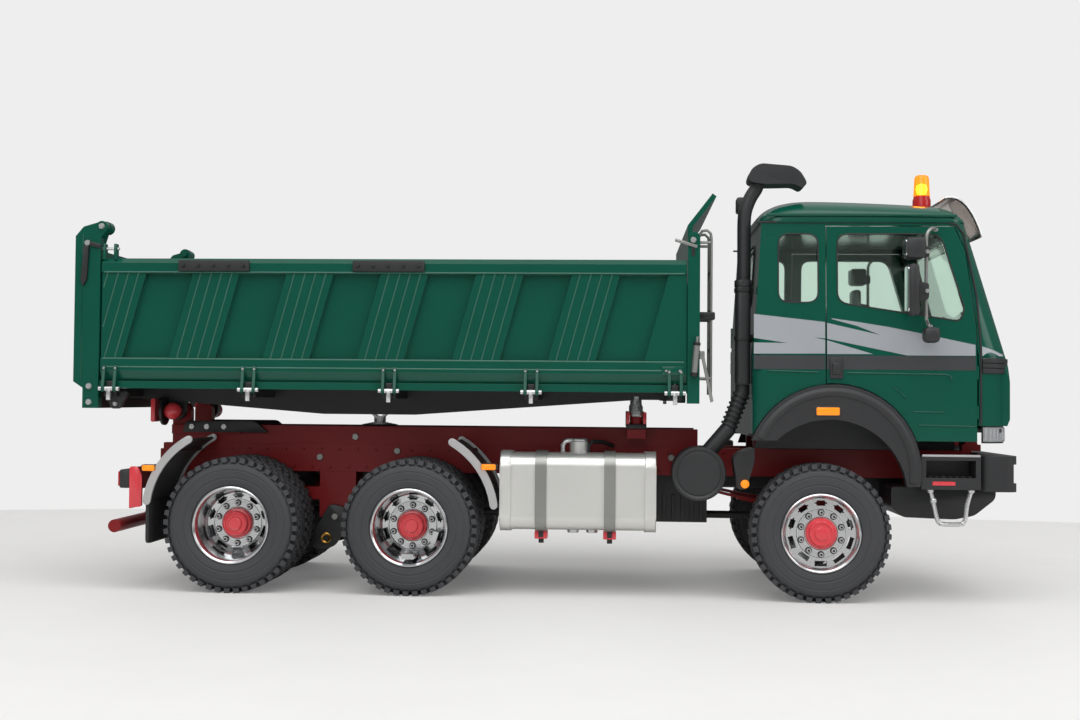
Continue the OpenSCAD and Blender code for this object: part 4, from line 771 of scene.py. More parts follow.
class TIPPER_OT_rims(bpy.types.Operator):
    """Turned rims with slots, red hub caps and wheel nuts"""

    bl_idname = "tipper.rims"
    bl_label = "Rims and hubs"

    def execute(self, context):
        nut_r = context.scene.truck_sizes.nut_radius / MM
        for body, x, middles, way, _, rim_node in wheels():
            twin = len(middles) == 2
            outer = (x, middles[0], AXLE_Z)
            profile, slot_r, face, stretch = RIM_KINDS[twin]
            mesh = slotted(profile, outer, way, slot_r, rim_node)
            settle(f"{rim_node}_outer", mesh, body, "turned_aluminium", 30, (rim_node,), (x, AXLE_Z))
            if twin:
                Solid().lathe(TWIN_INNER, (x, middles[1], AXLE_Z), way=way).piece(
                    f"{rim_node}_inner", body, "turned_aluminium", rings_about=(x, AXLE_Z))
            cap = [(r, face + y * stretch) for r, y in HUB_CAP]
            Solid().lathe(cap, outer, steps=48, way=way).piece(f"{rim_node}_hub_cap", body, "hub_enamel", 30)
            nuts = [(Vector(spot) + Vector((0, way * (face + NUT_OUT), 0)), (0, way, 0))
                    for spot, _ in ring_points(x, middles[0], NUT_CIRCLE, NUTS, 0.5)]
            for part, kind, out, share, height, sides, crown in NUT_PARTS:
                spots = [(p + Vector((0, way * out, 0)), w) for p, w in nuts]
                studs(f"{rim_node}_{part}", body, kind, spots, nut_r * share, height, sides, crown)
        return {"FINISHED"}


# FENDERS

GUARD_Z = 49.0
FENDERS = ((-190.5, 120, 172), (-79.0, 8, 60))  # axle, and where the fender starts and ends in degrees
FENDER_Y = (32.5, 83.5)
SHEET_R = (52.0, 53.5)
EDGE_R = (50.6, 55.4)
EDGES_Y = ((31.5, 33.0), (83.0, 85.0))
STAYS = [([(x, 27, z), (x, end, z)], 2.0, 14)
         for x, end, z in ((-226.0, 82, 88), (-43.5, 82, 88), (125, 68.5, 82))]
MARKER_TABS = ((-246.5, -237.0, 75.0), (-35.0, -24.5, 78.0))  # start and end along the truck, and height
SPLASH_GUARD = ([(119, 87), (123, 91), (132, 94), (132, 85), (127, 68), (122, 68)], 2.0, 68, 85, 0.8)
MARKER_DOME = [(0.0, 0.0), (2.6, 0.0), (2.6, 1.0), (2.0, 1.9), (0.9, 2.3), (0.0, 2.3)]
MARKER_AT = (126.2, 84.9, 71.5)
FLAP_TOP, FLAP_FOOT, FLAP_X = 57, 30, (-243.7, -241.7)
FLAP = [(FENDER_Y[0], FLAP_TOP), (FENDER_Y[0], FLAP_FOOT), (FENDER_Y[1], FLAP_FOOT), (FENDER_Y[1], FLAP_TOP)]
FLAP_RIBS = [((-244.3, y - 1, 33), (-243.4, y + 1, 55), 0.3) for y in (42.0, 50.5, 66.0, 74.5)]


class TIPPER_OT_fenders(bpy.types.Operator):
    """Fenders with silver edges, rubber flaps, stays and splash guards"""

    bl_idname = "tipper.fenders"
    bl_label = "Fenders"

    def execute(self, context):
        sheet, edges, stays, flaps, lenses = solids(5)
        for _ in both_sides(sheet, edges, stays, flaps, lenses):
            for x, start, end in FENDERS:
                section = arc(x, GUARD_Z, SHEET_R[0], start, end) + arc(x, GUARD_Z, SHEET_R[1], end, start)
                sheet.prism(section, "y", *FENDER_Y)
                for y0, y1 in EDGES_Y:
                    edges.prism(band(x, GUARD_Z, *EDGE_R, start, end), "y", y0, y1, 0.4)
            for x0, x1, z in MARKER_TABS:
                stays.box((x0, 79, z), (x1, 85, z + 4), 0.5)
                lenses.box((x0 + 0.8, 84.8, z + 0.2), (x1 - 0.8, 86.8, z + 3.8), 0.9)
            stays.tubes(STAYS).flats([SPLASH_GUARD])
            lenses.lathe(MARKER_DOME, MARKER_AT, steps=24)
            flaps.prism(rounded(FLAP, 3.0), "x", *FLAP_X, 0.4).boxes(FLAP_RIBS)
        sheet.piece("fender_sheets", "chassis", "black_abs", replaces=("mudguards",))
        edges.piece("fender_edges", "chassis", "silver_paint")
        stays.piece("fender_stays", "chassis", "black_steel")
        flaps.piece("fender_flaps", "chassis", "trim_rubber")
        lenses.piece("side_markers", "chassis", "amber_lens")
        return {"FINISHED"}


# LOAD BED

WALL_Y = 88.0
WALL_X = (-271.0, 89.0)
RIB_Y = 87.0
PRESSING_X, PRESSING_PITCH, PRESSING_W, PRESSING_LEAN = -244.7, 58.9, 29.6, 14.5
FIELD_X, FIELD_Z = -271.5, (145.2, 198.3)
BEAD_SHARES = (0.17, 0.4, 0.62, 0.84)  # places of the beads across a rib
RAIL_BEADS = ((87.6, 198.8), (87.6, 144.9), (87.7, 139.7))  # out from the middle, and height
STRIPS_X, STRIP_Z = ((-223.7, -179.0), (-114.6, -69.9)), (199.2, 206.2)
BOLT_INSET, BOLT_Z = 3.5, 202.7
EYES = [([(x - 1, 206.5), (x + 1, 206.5), (x + 0.8, 216.5), (x - 0.8, 216.5)], 0.8, 83.5, 87.4, 0.2)
        for x in (-271.4, -264.4)]
EYE_PIN = ([(-273.2, 85.5, 213.4), (-262.4, 85.5, 213.4)], 0.9, 12)
LATCH_PLATE = ((75.6, WALL_Y - 0.2, 136.8), (89.0, WALL_Y + 0.9, 142.4), 0.4)
HINGES_X = [-266 + 87.4 * i for i in range(5)]
HINGE_Y, HINGE_Z = 89.9, 126.0
HINGE_RODS = [([(x + start, HINGE_Y, HINGE_Z), (x + end, HINGE_Y, HINGE_Z)], radius, 16) for x in HINGES_X
              for start, end, radius in ((-2.5, 2.5, 1.5), (-4.7, -6.4, 1.4), (4.7, 6.4, 1.4))]
HINGE_STEMS = [((x - 1.3, HINGE_Y - 0.3, 119.0), (x + 1.3, HINGE_Y + 1.5, 126.2), 0.4) for x in HINGES_X]
HINGE_BLOCKS = [((x - 2.4, 87.6, 126.8), (x + 2.4, 89.3, 131.0), 0.5) for x in HINGES_X]
WALL_SCREWS = [(x + s, 89.3, 138.8) for x in HINGES_X for s in (-3.6, 3.6)]
WALL_SCREWS += [(x, WALL_Y + 1.2, 139.6) for x in (78.2, 86.4)]  # in the latch plate


def rib_beads():
    """Foot and top of each fine bead on a wall's slanted ribs, cut off where the wall begins."""
    low, high = FIELD_Z
    for i in range(-1, 5):
        for share in BEAD_SHARES:
            x = PRESSING_X + PRESSING_W + i * PRESSING_PITCH + share * (PRESSING_PITCH - PRESSING_W)
            cut = max(0.0, (FIELD_X - (x - PRESSING_LEAN)) / PRESSING_LEAN)
            if cut < 0.95:
                yield (x - PRESSING_LEAN * (1 - cut), RIB_Y, low + cut * (high - low)), (x, RIB_Y, high)


class TIPPER_OT_walls(bpy.types.Operator):
    """Side walls: fine beads on the ribs, rubber strips with bolts, latch eyes and hinge fittings"""

    bl_idname = "tipper.walls"
    bl_label = "Wall trim"

    def execute(self, context):
        count = context.scene.truck_sizes.strip_bolts
        for side, way in SIDES.items():
            wall = f"side_wall_{side}"
            beads, strips, eyes, pins = solids(4, way)
            bolts = []
            for line in rib_beads():
                beads.tube(line, 0.45)
            for y, z in RAIL_BEADS:
                beads.tube([(x, y, z) for x in WALL_X], 0.55, 12)
            for x0, x1 in STRIPS_X:
                strips.box((x0, WALL_Y - 0.1, STRIP_Z[0]), (x1, WALL_Y + 2.1, STRIP_Z[1]), 0.8)
                reach = x1 - x0 - 2 * BOLT_INSET
                bolts += [(x0 + BOLT_INSET + k * reach / (count - 1), WALL_Y + 2.3, BOLT_Z)
                          for k in range(count)]
            eyes.flats(EYES).box(*LATCH_PLATE)
            pins.tube(*EYE_PIN)
            # The beads wear a paler enamel: a painted highlight along them.
            beads.piece(f"{wall}_beads", wall, "rubbed_enamel")
            strips.piece(f"{wall}_strips", wall, "trim_rubber")
            eyes.piece(f"{wall}_eyes", wall, "green_enamel")
            pins.piece(f"{wall}_pin", wall, "bright_steel")
            studs(f"{wall}_strip_bolts", wall, "black_steel", outward(bolts, (way,)), 1.05, 0.9)
            studs(f"{wall}_screws", wall, "bright_steel", outward(WALL_SCREWS, (way,)), 0.85, 0.8)
        tees, blocks = solids(2)
        for _ in both_sides(tees, blocks):
            tees.tubes(HINGE_RODS).boxes(HINGE_STEMS)
            blocks.boxes(HINGE_BLOCKS)
        tees.piece("wall_hinge_tees", "bed", "bright_steel")
        blocks.piece("wall_hinge_blocks", "bed", "black_steel")
        return {"FINISHED"}


POST_SCREWS = ((-279.3, 127.5), (-279.2, 117.6), (-272.9, 227.2), (-281.6, 216.7), (94.2, 219.4))
LEVER = (  # grip and arm
    ([(-283.4, 215.5), (-280.4, 214.5), (-281.4, 194), (-284.0, 189.8), (-285.3, 193.5)],
     1.2, WALL_Y + 0.2, WALL_Y + 2.0, 0.4),
    ([(-281.6, 215.2), (-273.0, 213.4), (-273.0, 216.0), (-281.6, 218.2)],
     0, WALL_Y + 0.2, WALL_Y + 1.4, 0.3),
)
POST_FOLD = ((-285.0, WALL_Y - 0.1, 131), (-284.3, WALL_Y + 0.3, 222), 0.12)
FRONT_LATCH = ([(83.0, 218.4), (96.4, 214.4), (96.8, 216.2), (83.2, 220.4)],
               0, WALL_Y + 0.1, WALL_Y + 1.2, 0.3)
# A dark patch where the latch enters the front post: painted shade in the slot.
LATCH_SLOT = ((93.2, WALL_Y - 0.1, 209.5), (95.2, WALL_Y + 0.25, 216.0), 0.1)
RAM_Y = WALL_Y + 1.9
RAM = (([(95.1, RAM_Y, 138.5), (96.6, RAM_Y, 156.0)], 1.9, 18),
       ([(96.6, RAM_Y, 156.0), (96.9, RAM_Y, 160.5)], 0.9, 12))
RAM_COLLARS = (([(94.9, RAM_Y, 136.4), (95.1, RAM_Y, 138.8)], 2.2, 18),
               ([(96.5, RAM_Y, 155.2), (96.7, RAM_Y, 157.0)], 2.2, 18))
RAM_STRUT = ([(99.0, 150.0), (101.0, 150.4), (107.0, 121.4), (105.2, 120.6)], 0, 85.0, 86.4, 0.3)
RAM_LUG = ((97.4, 84.5, 147), (101.5, 86.8, 152), 0.5)
LADDER_Y = (-74, -52)
LADDER_HOOK = ((106, 222), (105.6, 225), (103.5, 227), (100.5, 226.6), (98.6, 224))
LADDER_FEET = [((97.6, y - 2.4, 171.6), (108.4, y + 2.4, 176.4), 0.8) for y in LADDER_Y]
TIP_BALL_AT, TIP_BALL_R = (-240, 46.5, 112), 5.6
BALL_CHEEK = (rectangle(-252.5, 105, -249.8, 120), 1.2, 41, 52, 0.6)
BALL_FLANGE, BALL_FLANGE_AT = [(2.0, 0.0), (9.2, 0.0), (9.2, 1.6), (2.0, 1.6)], (-246.5, 45, 112)
HINGE_PLATE = ([(-238.5, 98.2), (-181, 98.2), (-190, 105.6), (-236, 105.6)], 2.0, 27.1, 30.4, 0.5)
HINGE_PLATE_SCREWS = [(x, 30.7, 101.8) for x in (-232.0, -222.0, -210.5)]
REST_X, REST_Y = 61, 37
REST_SEAT = ((REST_X - 6.5, REST_Y - 5.2, 103.2), (REST_X + 6.5, REST_Y + 5.2, 106.4), 0.6)
REST_CHEEKS = [((x - 1.1, 33, 104), (x + 1.1, 41, 114), 0.5) for x in (REST_X - 5.4, REST_X + 5.4)]
REST_GUIDE = [(2.6, 111.3), (4.2, 111.3), (4.2, 117.5), (3.4, 119.0), (3.4, 124.0), (2.6, 124.0)]


class TIPPER_OT_bed_fittings(bpy.types.Operator):
    """Bed: post screws, latch levers, wall rams, ladder hooks, tipping balls and bed rests"""

    bl_idname = "tipper.bed_fittings"
    bl_label = "Bed fittings"

    def execute(self, context):
        levers, bright, green = solids(3)
        for _ in both_sides(levers, bright, green):
            levers.flats(LEVER).box(*LATCH_SLOT).tubes(RAM_COLLARS)
            green.box(*POST_FOLD)
            bright.flats([FRONT_LATCH, RAM_STRUT]).tubes(RAM).box(*RAM_LUG)
        for y in LADDER_Y:
            bright.tube([(x, y, z) for x, z in LADDER_HOOK], 0.9)
        levers.boxes(LADDER_FEET)
        levers.piece("bed_levers", "bed", "black_steel")
        bright.piece("bed_bright_fittings", "bed", "grey_steel")
        green.piece("post_folds", "bed", "green_enamel")
        socket_screws("bed_screws", "bed_screw_sockets", "bed", "bright_steel",
                      outward([(x, WALL_Y + 0.5, z) for x, z in POST_SCREWS]),
                      head=(2.0, 1.1, 0.8), socket=(0.75, 0.15, 0.55))

        balls, plates, guides = solids(3)
        profile = ball(TIP_BALL_R, -70, 10)
        for _ in both_sides(balls, plates, guides):
            balls.lathe([(0.0, profile[0][1])] + profile, TIP_BALL_AT, steps=32)
            balls.flats([BALL_CHEEK]).boxes(REST_CHEEKS)
            plates.flats([HINGE_PLATE]).box(*REST_SEAT)
            plates.lathe(BALL_FLANGE, BALL_FLANGE_AT, axis="x", steps=32)
            guides.lathe(REST_GUIDE, (REST_X, REST_Y, 0), axis="z", steps=28)
        balls.piece("tipping_balls", "chassis", "hub_enamel")
        plates.piece("hinge_plates", "chassis", "black_steel")
        guides.piece("rest_guides", "bed", "bright_steel")
        socket_screws("hinge_plate_screws", "hinge_plate_sockets", "chassis", "bright_steel",
                      outward(HINGE_PLATE_SCREWS), head=(2.0, 0.9, 0.85), socket=(1.0, 0.2, 0.5))
        return {"FINISHED"}


# CAB

BELT_Z = 150.0
UPPER_H = 82  # from the belt to the gutter: over it, sides and back lean in
CAB_SIDE_Y, SIDE_LEAN = 86, 4
CAB_BACK_X, BACK_LEAN = 131, 5
SCREEN_X, SCREEN_SLOPE = 284, 0.3057
CORNER_X, CORNER_Y, CORNER_R = 267.5, 68.0, 18.0
DOOR_X = (175.2, 263.5)
PANEL_X = (131.2, 174.0)
# Outlines along the cab and up, and of the front and back windows across and up.
DOOR_WINDOW = [(181.5, 182.0), (181.5, 224.0), (243.5, 224.0), (257.5, 178.0), (254.5, 171.0)]
QUARTER_WINDOW = [(146.0, 182.0), (146.0, 224.0), (170.0, 224.0), (170.0, 182.0)]
SCREEN = [(-74.0, 157.0), (-68.0, 225.0), (68.0, 225.0), (74.0, 157.0)]
BACK_WINDOW = [(-50.0, 182.0), (-50.0, 220.4), (50.0, 220.4), (50.0, 182.0)]
WINDOW_R, SCREEN_R = 7.0, 8.0
PANEL_SILVER = [(131.2, 174.8), (174.0, 170.1), (174.0, 160.1), (167.1, 160.7), (174.0, 159.3),
                (174.0, 150.9), (131.2, 150.6), (131.2, 157.4), (151.4, 157.2), (131.2, 160.2)]
DOOR_SILVER = [(175.2, 169.6), (207.3, 162.3), (192.8, 167.9), (178.0, 171.9), (178.0, 172.4), (193.9, 170.2),
               (212.4, 167.2), (233.0, 163.2), (263.5, 156.7), (263.5, 150.2), (223.0, 150.1), (175.2, 159.9)]
DOOR_WEDGE = [(175.2, 159.0), (202.6, 150.8), (175.2, 150.6)]
BELT_BAND = (141.3, 149.8)
STRIPE_PROUD, WEDGE_PROUD = 0.16, 0.14
# The wedge runs out round the corner: degrees from the side, and height.
WEDGE_TOP = [(5 * k, 155.9 - 0.5 * k) for k in range(11)]
WEDGE = WEDGE_TOP + [(a, 150.1) for a, _ in reversed(WEDGE_TOP)]
RIBS_Z, RIB_H, RIB_PROUD, RIBS_END_Y = (140.0, 143.0, 146.0), 2.5, 1.3, 56.0
RIB_BACK_Z, RIB_BACK_PROUD = (139.6, 148.9), 0.5
CORNER_SINK = 0.3  # how deep a strip round the corner sits in the panel


def cab_side(z):
    """Distance of the cab's side from the middle, at a height."""
    return CAB_SIDE_Y - max(0.0, z - BELT_Z) * SIDE_LEAN / UPPER_H


def cab_back(z):
    """Where the cab's back lies, at a height."""
    return CAB_BACK_X + max(0.0, z - BELT_Z) * BACK_LEAN / UPPER_H


def screen_x(y, z):
    """Where the cab's front lies, at a place across and a height."""
    bend = max(0.0, abs(y) - CORNER_Y)
    return SCREEN_X - (z - BELT_Z) * SCREEN_SLOPE - (CORNER_R - math.sqrt(CORNER_R ** 2 - bend ** 2))


def on_cab(proud):
    """Lays an outline on the cab's side: distance along the push becomes height above the panel."""
    return lambda at: (at[0], cab_side(at[2]) + proud * at[1], at[2])


def on_screen(at):
    """Lays an outline on the cab's front."""
    return screen_x(at[1], at[2]) + at[0], at[1], at[2]


def on_back(at):
    """Lays an outline on the cab's back."""
    return cab_back(at[2]) + at[0], at[1], at[2]


def on_corner(at):
    """Lays an outline of degrees and heights round a front corner of the cab."""
    angle = math.radians(90 - at[0])
    radius = CORNER_R + WEDGE_PROUD * at[1] - max(0.0, at[2] - BELT_Z) * SIDE_LEAN / UPPER_H
    return CORNER_X + radius * math.cos(angle), CORNER_Y + radius * math.sin(angle), at[2]


def corner_band(radius, thick, start, end, inner_y=None):
    """Plan of a strip round a front corner of the cab, and along the front as far as inner_y."""
    outer = arc(CORNER_X, CORNER_Y, radius + thick, start, end, 14)
    inner = arc(CORNER_X, CORNER_Y, radius - CORNER_SINK, end, start, 14)
    if inner_y is not None:
        outer.append((CORNER_X + radius + thick, inner_y))
        inner.insert(0, (CORNER_X + radius - CORNER_SINK, inner_y))
    return outer + inner


class TIPPER_OT_livery(bpy.types.Operator):
    """Silver wedge, dark belt band and the ribbed corners of the cab"""

    bl_idname = "tipper.livery"
    bl_label = "Stripes"

    def execute(self, context):
        low, high = BELT_BAND
        lay = on_cab(STRIPE_PROUD)
        cab_silver, cab_slate, ribs = solids(3)
        for side, way in both_sides(cab_silver, cab_slate, ribs):
            silver, slate = solids(2, way)
            for outline in (DOOR_SILVER, DOOR_WEDGE):
                silver.prism(outline, "y", -1, 1, lean=lay)
            slate.prism(rectangle(DOOR_X[0] - 0.2, low, DOOR_X[1], high), "y", -1, 1, lean=lay)
            silver.piece(f"door_{side}_silver", f"door_{side}", "silver_lacquer")
            slate.piece(f"door_{side}_band", f"door_{side}", "slate_lacquer")
            cab_silver.prism(PANEL_SILVER, "y", -1, 1, lean=lay)
            cab_slate.prism(rectangle(PANEL_X[0], low, PANEL_X[1], high), "y", -1, 1, lean=lay)
            cab_silver.prism(WEDGE, "y", -1, 1, lean=on_corner)
            for z in RIBS_Z:
                ribs.prism(corner_band(CORNER_R, RIB_PROUD, 90, 0, RIBS_END_Y), "z", z, z + RIB_H, 0.35)
            ribs.prism(corner_band(CORNER_R, RIB_BACK_PROUD, 90, 0, RIBS_END_Y), "z", *RIB_BACK_Z)
        cab_silver.piece("cab_silver", "cab", "silver_lacquer")
        cab_slate.piece("cab_band", "cab", "slate_lacquer")
        ribs.piece("corner_ribs", "cab", "black_abs")
        return {"FINISHED"}


DOOR_BEADS = (((187.0, 139.4), (246.0, 138.8), (248.8, 137.6), (249.4, 134.6)),
              ((226.5, 116.2), (245.0, 116.0)), ((229.5, 108.2), (263.5, 107.6)),
              ((214.6, 130.9), (219.2, 127.6), (222.4, 124.4)))
DOOR_HANDLE = (((176.8, 85.8, 135.8), (184.8, 87.2, 148.6), 0.5),
               ((178.2, 87.0, 138.2), (183.4, 88.2, 145.4), 0.6))
PANEL_BEAD = ((139.5, 140.4), (170.0, 139.6))
GUTTER, GUTTER_Y = ((139.0, 235.6), (200.0, 235.6), (253.0, 235.0)), 83.1
DOOR_GAP = ((132.5, 231.2), (246.0, 231.2), (253.2, 229.8), (257.4, 224.0), (264.6, 186.0), (266.5, 160.0),
            (266.7, 149.8), (266.7, 108.5))
BACK_TOP = [(-82.58, 220.1), (82.58, 220.1), (82.05, 231.3), (-82.05, 231.3)]
SIDE_TOP = [(135.27, 220.1), (171.8, 231.3), (135.95, 231.3)]
PANEL_T = 2.5
PANE_FILL = (-2.2, -0.02)  # from below the panel's face up to it
WIPERS_Y, WIPER_Z = (-46.0, 4.0), (152, 176)
WIPER_BOSS = [(0.0, 0.0), (2.2, 0.0), (2.2, 2.2), (1.4, 3.2), (0.0, 3.2)]


class TIPPER_OT_windows(bpy.types.Operator):
    """Round window corners with rubber seals, wipers and door trim"""

    bl_idname = "tipper.windows"
    bl_label = "Windows and doors"

    def execute(self, context):
        cab_seals, cab_green, wipers = solids(3)
        for side, way in both_sides(cab_seals, cab_green):
            door = f"door_{side}"
            corners, seals, handle, beads = solids(4, way)
            for outline in corner_fills(DOOR_WINDOW, WINDOW_R):
                corners.prism(outline, "y", *PANE_FILL, lean=on_cab(1.0))
            seals.bead([(x, cab_side(z) - 0.1, z) for x, z in rounded(DOOR_WINDOW, WINDOW_R, 8)], 0.5)
            handle.boxes(DOOR_HANDLE)
            for path in DOOR_BEADS:
                beads.tube([(x, CAB_SIDE_Y, z) for x, z in path], 0.55, 8)
            corners.piece(f"{door}_corners", door, "green_enamel")
            seals.piece(f"{door}_seal", door, "trim_rubber")
            handle.piece(f"{door}_handle", door, "black_abs")
            beads.piece(f"{door}_beads", door, "green_enamel")
            cab_seals.bead([(x, cab_side(z) - 0.1, z) for x, z in rounded(QUARTER_WINDOW, WINDOW_R, 8)], 0.45)
            cab_green.tube([(x, CAB_SIDE_Y, z) for x, z in PANEL_BEAD], 0.55, 8)
            cab_green.tube([(x, GUTTER_Y, z) for x, z in GUTTER], 1.0)
            cab_seals.tube([(x, cab_side(z) + 0.1, z) for x, z in DOOR_GAP], 0.65)
        # Top of the back wall and of the side panels, up to the roof.
        cab_green.prism(BACK_TOP, "x", 0.0, PANEL_T, lean=on_back)
        for _ in both_sides(cab_green):
            cab_green.prism(SIDE_TOP, "y", -PANEL_T, 0.0, lean=on_cab(1.0))
        for outline in corner_fills(SCREEN, SCREEN_R):
            cab_green.prism(outline, "x", *PANE_FILL, lean=on_screen)
        cab_seals.bead([(screen_x(y, z), y, z) for y, z in rounded(SCREEN, SCREEN_R, 8)], 0.9)
        cab_seals.bead([(cab_back(z), y, z) for y, z in rounded(BACK_WINDOW, WINDOW_R, 8)], 0.75)
        low, high = WIPER_Z
        for y in WIPERS_Y:
            wipers.tube([(screen_x(p, z) + 2.4, p, z) for p, z in ((y, low), (y + 24, high))], 0.7, 8)
            blade = [(y + 8, high - 5), (y + 24, high), (y + 40, high + 5)]
            wipers.tube([(screen_x(p, z) + 1.2, p, z) for p, z in blade], 0.9, 8)
            wipers.lathe(WIPER_BOSS, (screen_x(y, low) - 0.2, y, low), axis="x", steps=20)
        cab_seals.piece("cab_seals", "cab", "trim_rubber")
        cab_green.piece("cab_green_trim", "cab", "green_enamel")
        wipers.piece("wipers", "cab", "black_steel")
        return {"FINISHED"}


ROOF_Z, ROOF_X, ROOF_HALF_W, ROOF_CORNER_R = 231, (135.2, 260.4), 83, 12
ROOF_LINE = [(135.4, 231.2), (135.2, 235.5), (137.6, 239.6), (142.5, 243.4), (150.0, 246.4), (161.0, 248.2),
             (180.0, 248.2), (210.0, 247.0), (238.0, 245.2), (248.0, 243.6), (254.6, 240.4), (258.6, 236.0),
             (260.4, 231.2)]
ROOF_ARCH = [(0.0, 1.0), (0.3, 0.995), (0.5, 0.975), (0.65, 0.935), (0.77, 0.87), (0.86, 0.77), (0.925, 0.63),
             (0.965, 0.47), (0.99, 0.3), (1.0, 0.15), (1.0, 0.0)]  # shares of the half width and of the rise
VISOR_LINE = ((248.6, 247.6), (262.5, 251.5), (271.0, 223.8))  # start, pull and end of the bend
VISOR_FOOT = [(264.0, 222.5), (256.0, 234.0), (251.5, 242.5)]
VISOR_HALF_W, VISOR_CHEEK_T = 72, 1.2
VISOR_INWARD = (-0.75, -0.95)  # from the visor's outer face to its inner one
BEACON_AT = (240.2, -46.0, 0.0)
BEACON = (  # piece, profile of radius and height, steps, finish, and the node that it replaces
    ("beacon_base", [(0.0, 243.5), (5.6, 243.5), (5.6, 249.8), (5.0, 251.2), (5.0, 252.2), (0.0, 252.2)],
     32, "red_lens", ()),
    ("beacon_dome", [(0.0, 252.0), (5.1, 252.0), (4.55, 263.2), (4.1, 264.8), (3.0, 265.6), (0.0, 265.9)],
     40, "beacon_lens", ("beacon",)),
    ("beacon_bulb", [(0.0, 253.0), (1.8, 253.6), (2.4, 256.5), (2.0, 259.0), (0.0, 260.0)],
     24, "lit_bulb", ()),
)
STACK_Y = -68.0
STACK_DUCT = (rectangle(121.5, -75, 130.5, -61), 3.4, 132.3, 193.5, 0.5)
STACK_COLLAR = (rectangle(121.0, -75.5, 131.0, -60.5), 4.0, 192.5, 196.5, 0.8)
STACK_PIPE = [(126.6, 194), (126.6, 215), (126.6, 232), (127.4, 240), (130.4, 248), (134.0, 254),
              (135.2, 259)]
STACK_CLIPS_Z = (158, 188)
STACK_CLIPS = [((126, -70.5, z), (132.5, -65.5, z + 5), 0.5) for z in STACK_CLIPS_Z]
STACK_STRAPS = [(rectangle(120.9, -75.6, 131.1, -60.4), 3.8, z + 1.2, z + 3.8, 0.2) for z in STACK_CLIPS_Z]
BACK_LAMP = ((123.0, -56, 240.5), (130.6, -46, 250.5), 1.4)
BACK_LAMP_STEM = ([(127.0, -51, 241), (127.4, -51, 233), (131.5, -51, 228)], 1.0)
HOOD = [(127.7, 257.2), (129.8, 264.6), (135.5, 268.3), (155.0, 266.6), (160.2, 263.2), (164.4, 255.9),
        (161.2, 252.6), (156.2, 255.6), (138.0, 255.2)]
HOOD_HALF_W = 9.2


class TIPPER_OT_roof(bpy.types.Operator):
    """Domed roof, sun visor, beacon and intake stack"""

    bl_idname = "tipper.roof"
    bl_label = "Roof and stack"

    def execute(self, context):
        self.dome()
        self.visor()
        for name, profile, steps, kind, replaces in BEACON:
            Solid().lathe(profile, BEACON_AT, "z", steps).piece(name, "cab", kind, replaces=replaces)
        self.stack()
        return {"FINISHED"}

    def dome(self):
        """Smooth roof, arched across and rounded down to the gutter"""
        rings = []
        for x, top in curve(ROOF_LINE):
            tuck = max(0.0, ROOF_CORNER_R - min(x - ROOF_X[0], ROOF_X[1] - x))
            half = ROOF_HALF_W - ROOF_CORNER_R + math.sqrt(max(0.0, ROOF_CORNER_R ** 2 - tuck ** 2))
            arch = [(x, share * half, ROOF_Z + rise * (top - ROOF_Z)) for share, rise in ROOF_ARCH]
            rings.append([(x, -y, z) for _, y, z in reversed(arch[1:])] + arch)
        Solid().skin(rings).piece("roof_dome", "cab", "green_enamel", 50, replaces=("cab_roof",))

    def visor(self):
        """Bent visor with cheeks, and bright steel rods along its edges as a painted highlight"""
        shell, edges = solids(2)
        start, pull, end = (Vector(p) for p in VISOR_LINE)
        outer = pulled(start, pull, end, 14)
        inner = [p + Vector(VISOR_INWARD) for p in outer]
        shell.prism([tuple(p) for p in outer + inner[::-1]], "y", -VISOR_HALF_W, VISOR_HALF_W, 0.25)
        cheek = [tuple(p) for p in inner[1:-1]] + VISOR_FOOT
        edge_y = VISOR_HALF_W - 0.2
        for _ in both_sides(shell, edges):
            shell.prism(cheek, "y", edge_y - VISOR_CHEEK_T, edge_y, 0.2)
            # Bright rods along the edges: a painted highlight on the acrylic's edges.
            edges.tube([(p.x, edge_y, p.y) for p in outer], 0.55, 8)
        edges.tube([(end.x - 0.3, -edge_y, end.y), (end.x - 0.3, edge_y, end.y)], 0.5, 8)
        shell.piece("visor_shell", "cab", "smoked_acrylic", 45, replaces=("sun_visor",))
        edges.piece("visor_edges", "cab", "bright_steel", slot="alloy")

    def stack(self):
        """Duct, pipe and hood of the air intake, its clips, and a plain work lamp beside it"""
        body, clips = solids(2)
        body.flats([STACK_DUCT, STACK_COLLAR], "z")
        body.tube([(p.x, STACK_Y, p.y) for p in curve(STACK_PIPE)], 4.2, 24)
        body.prism(rounded(HOOD, 4.0, 6), "y", STACK_Y - HOOD_HALF_W, STACK_Y + HOOD_HALF_W, 2.2)
        clips.boxes(STACK_CLIPS).flats(STACK_STRAPS, "z").box(*BACK_LAMP).tube(*BACK_LAMP_STEM)
        body.piece("stack_body", "cab", "black_abs", 40, replaces=("intake_stack",))
        clips.piece("stack_clips", "cab", "black_steel")


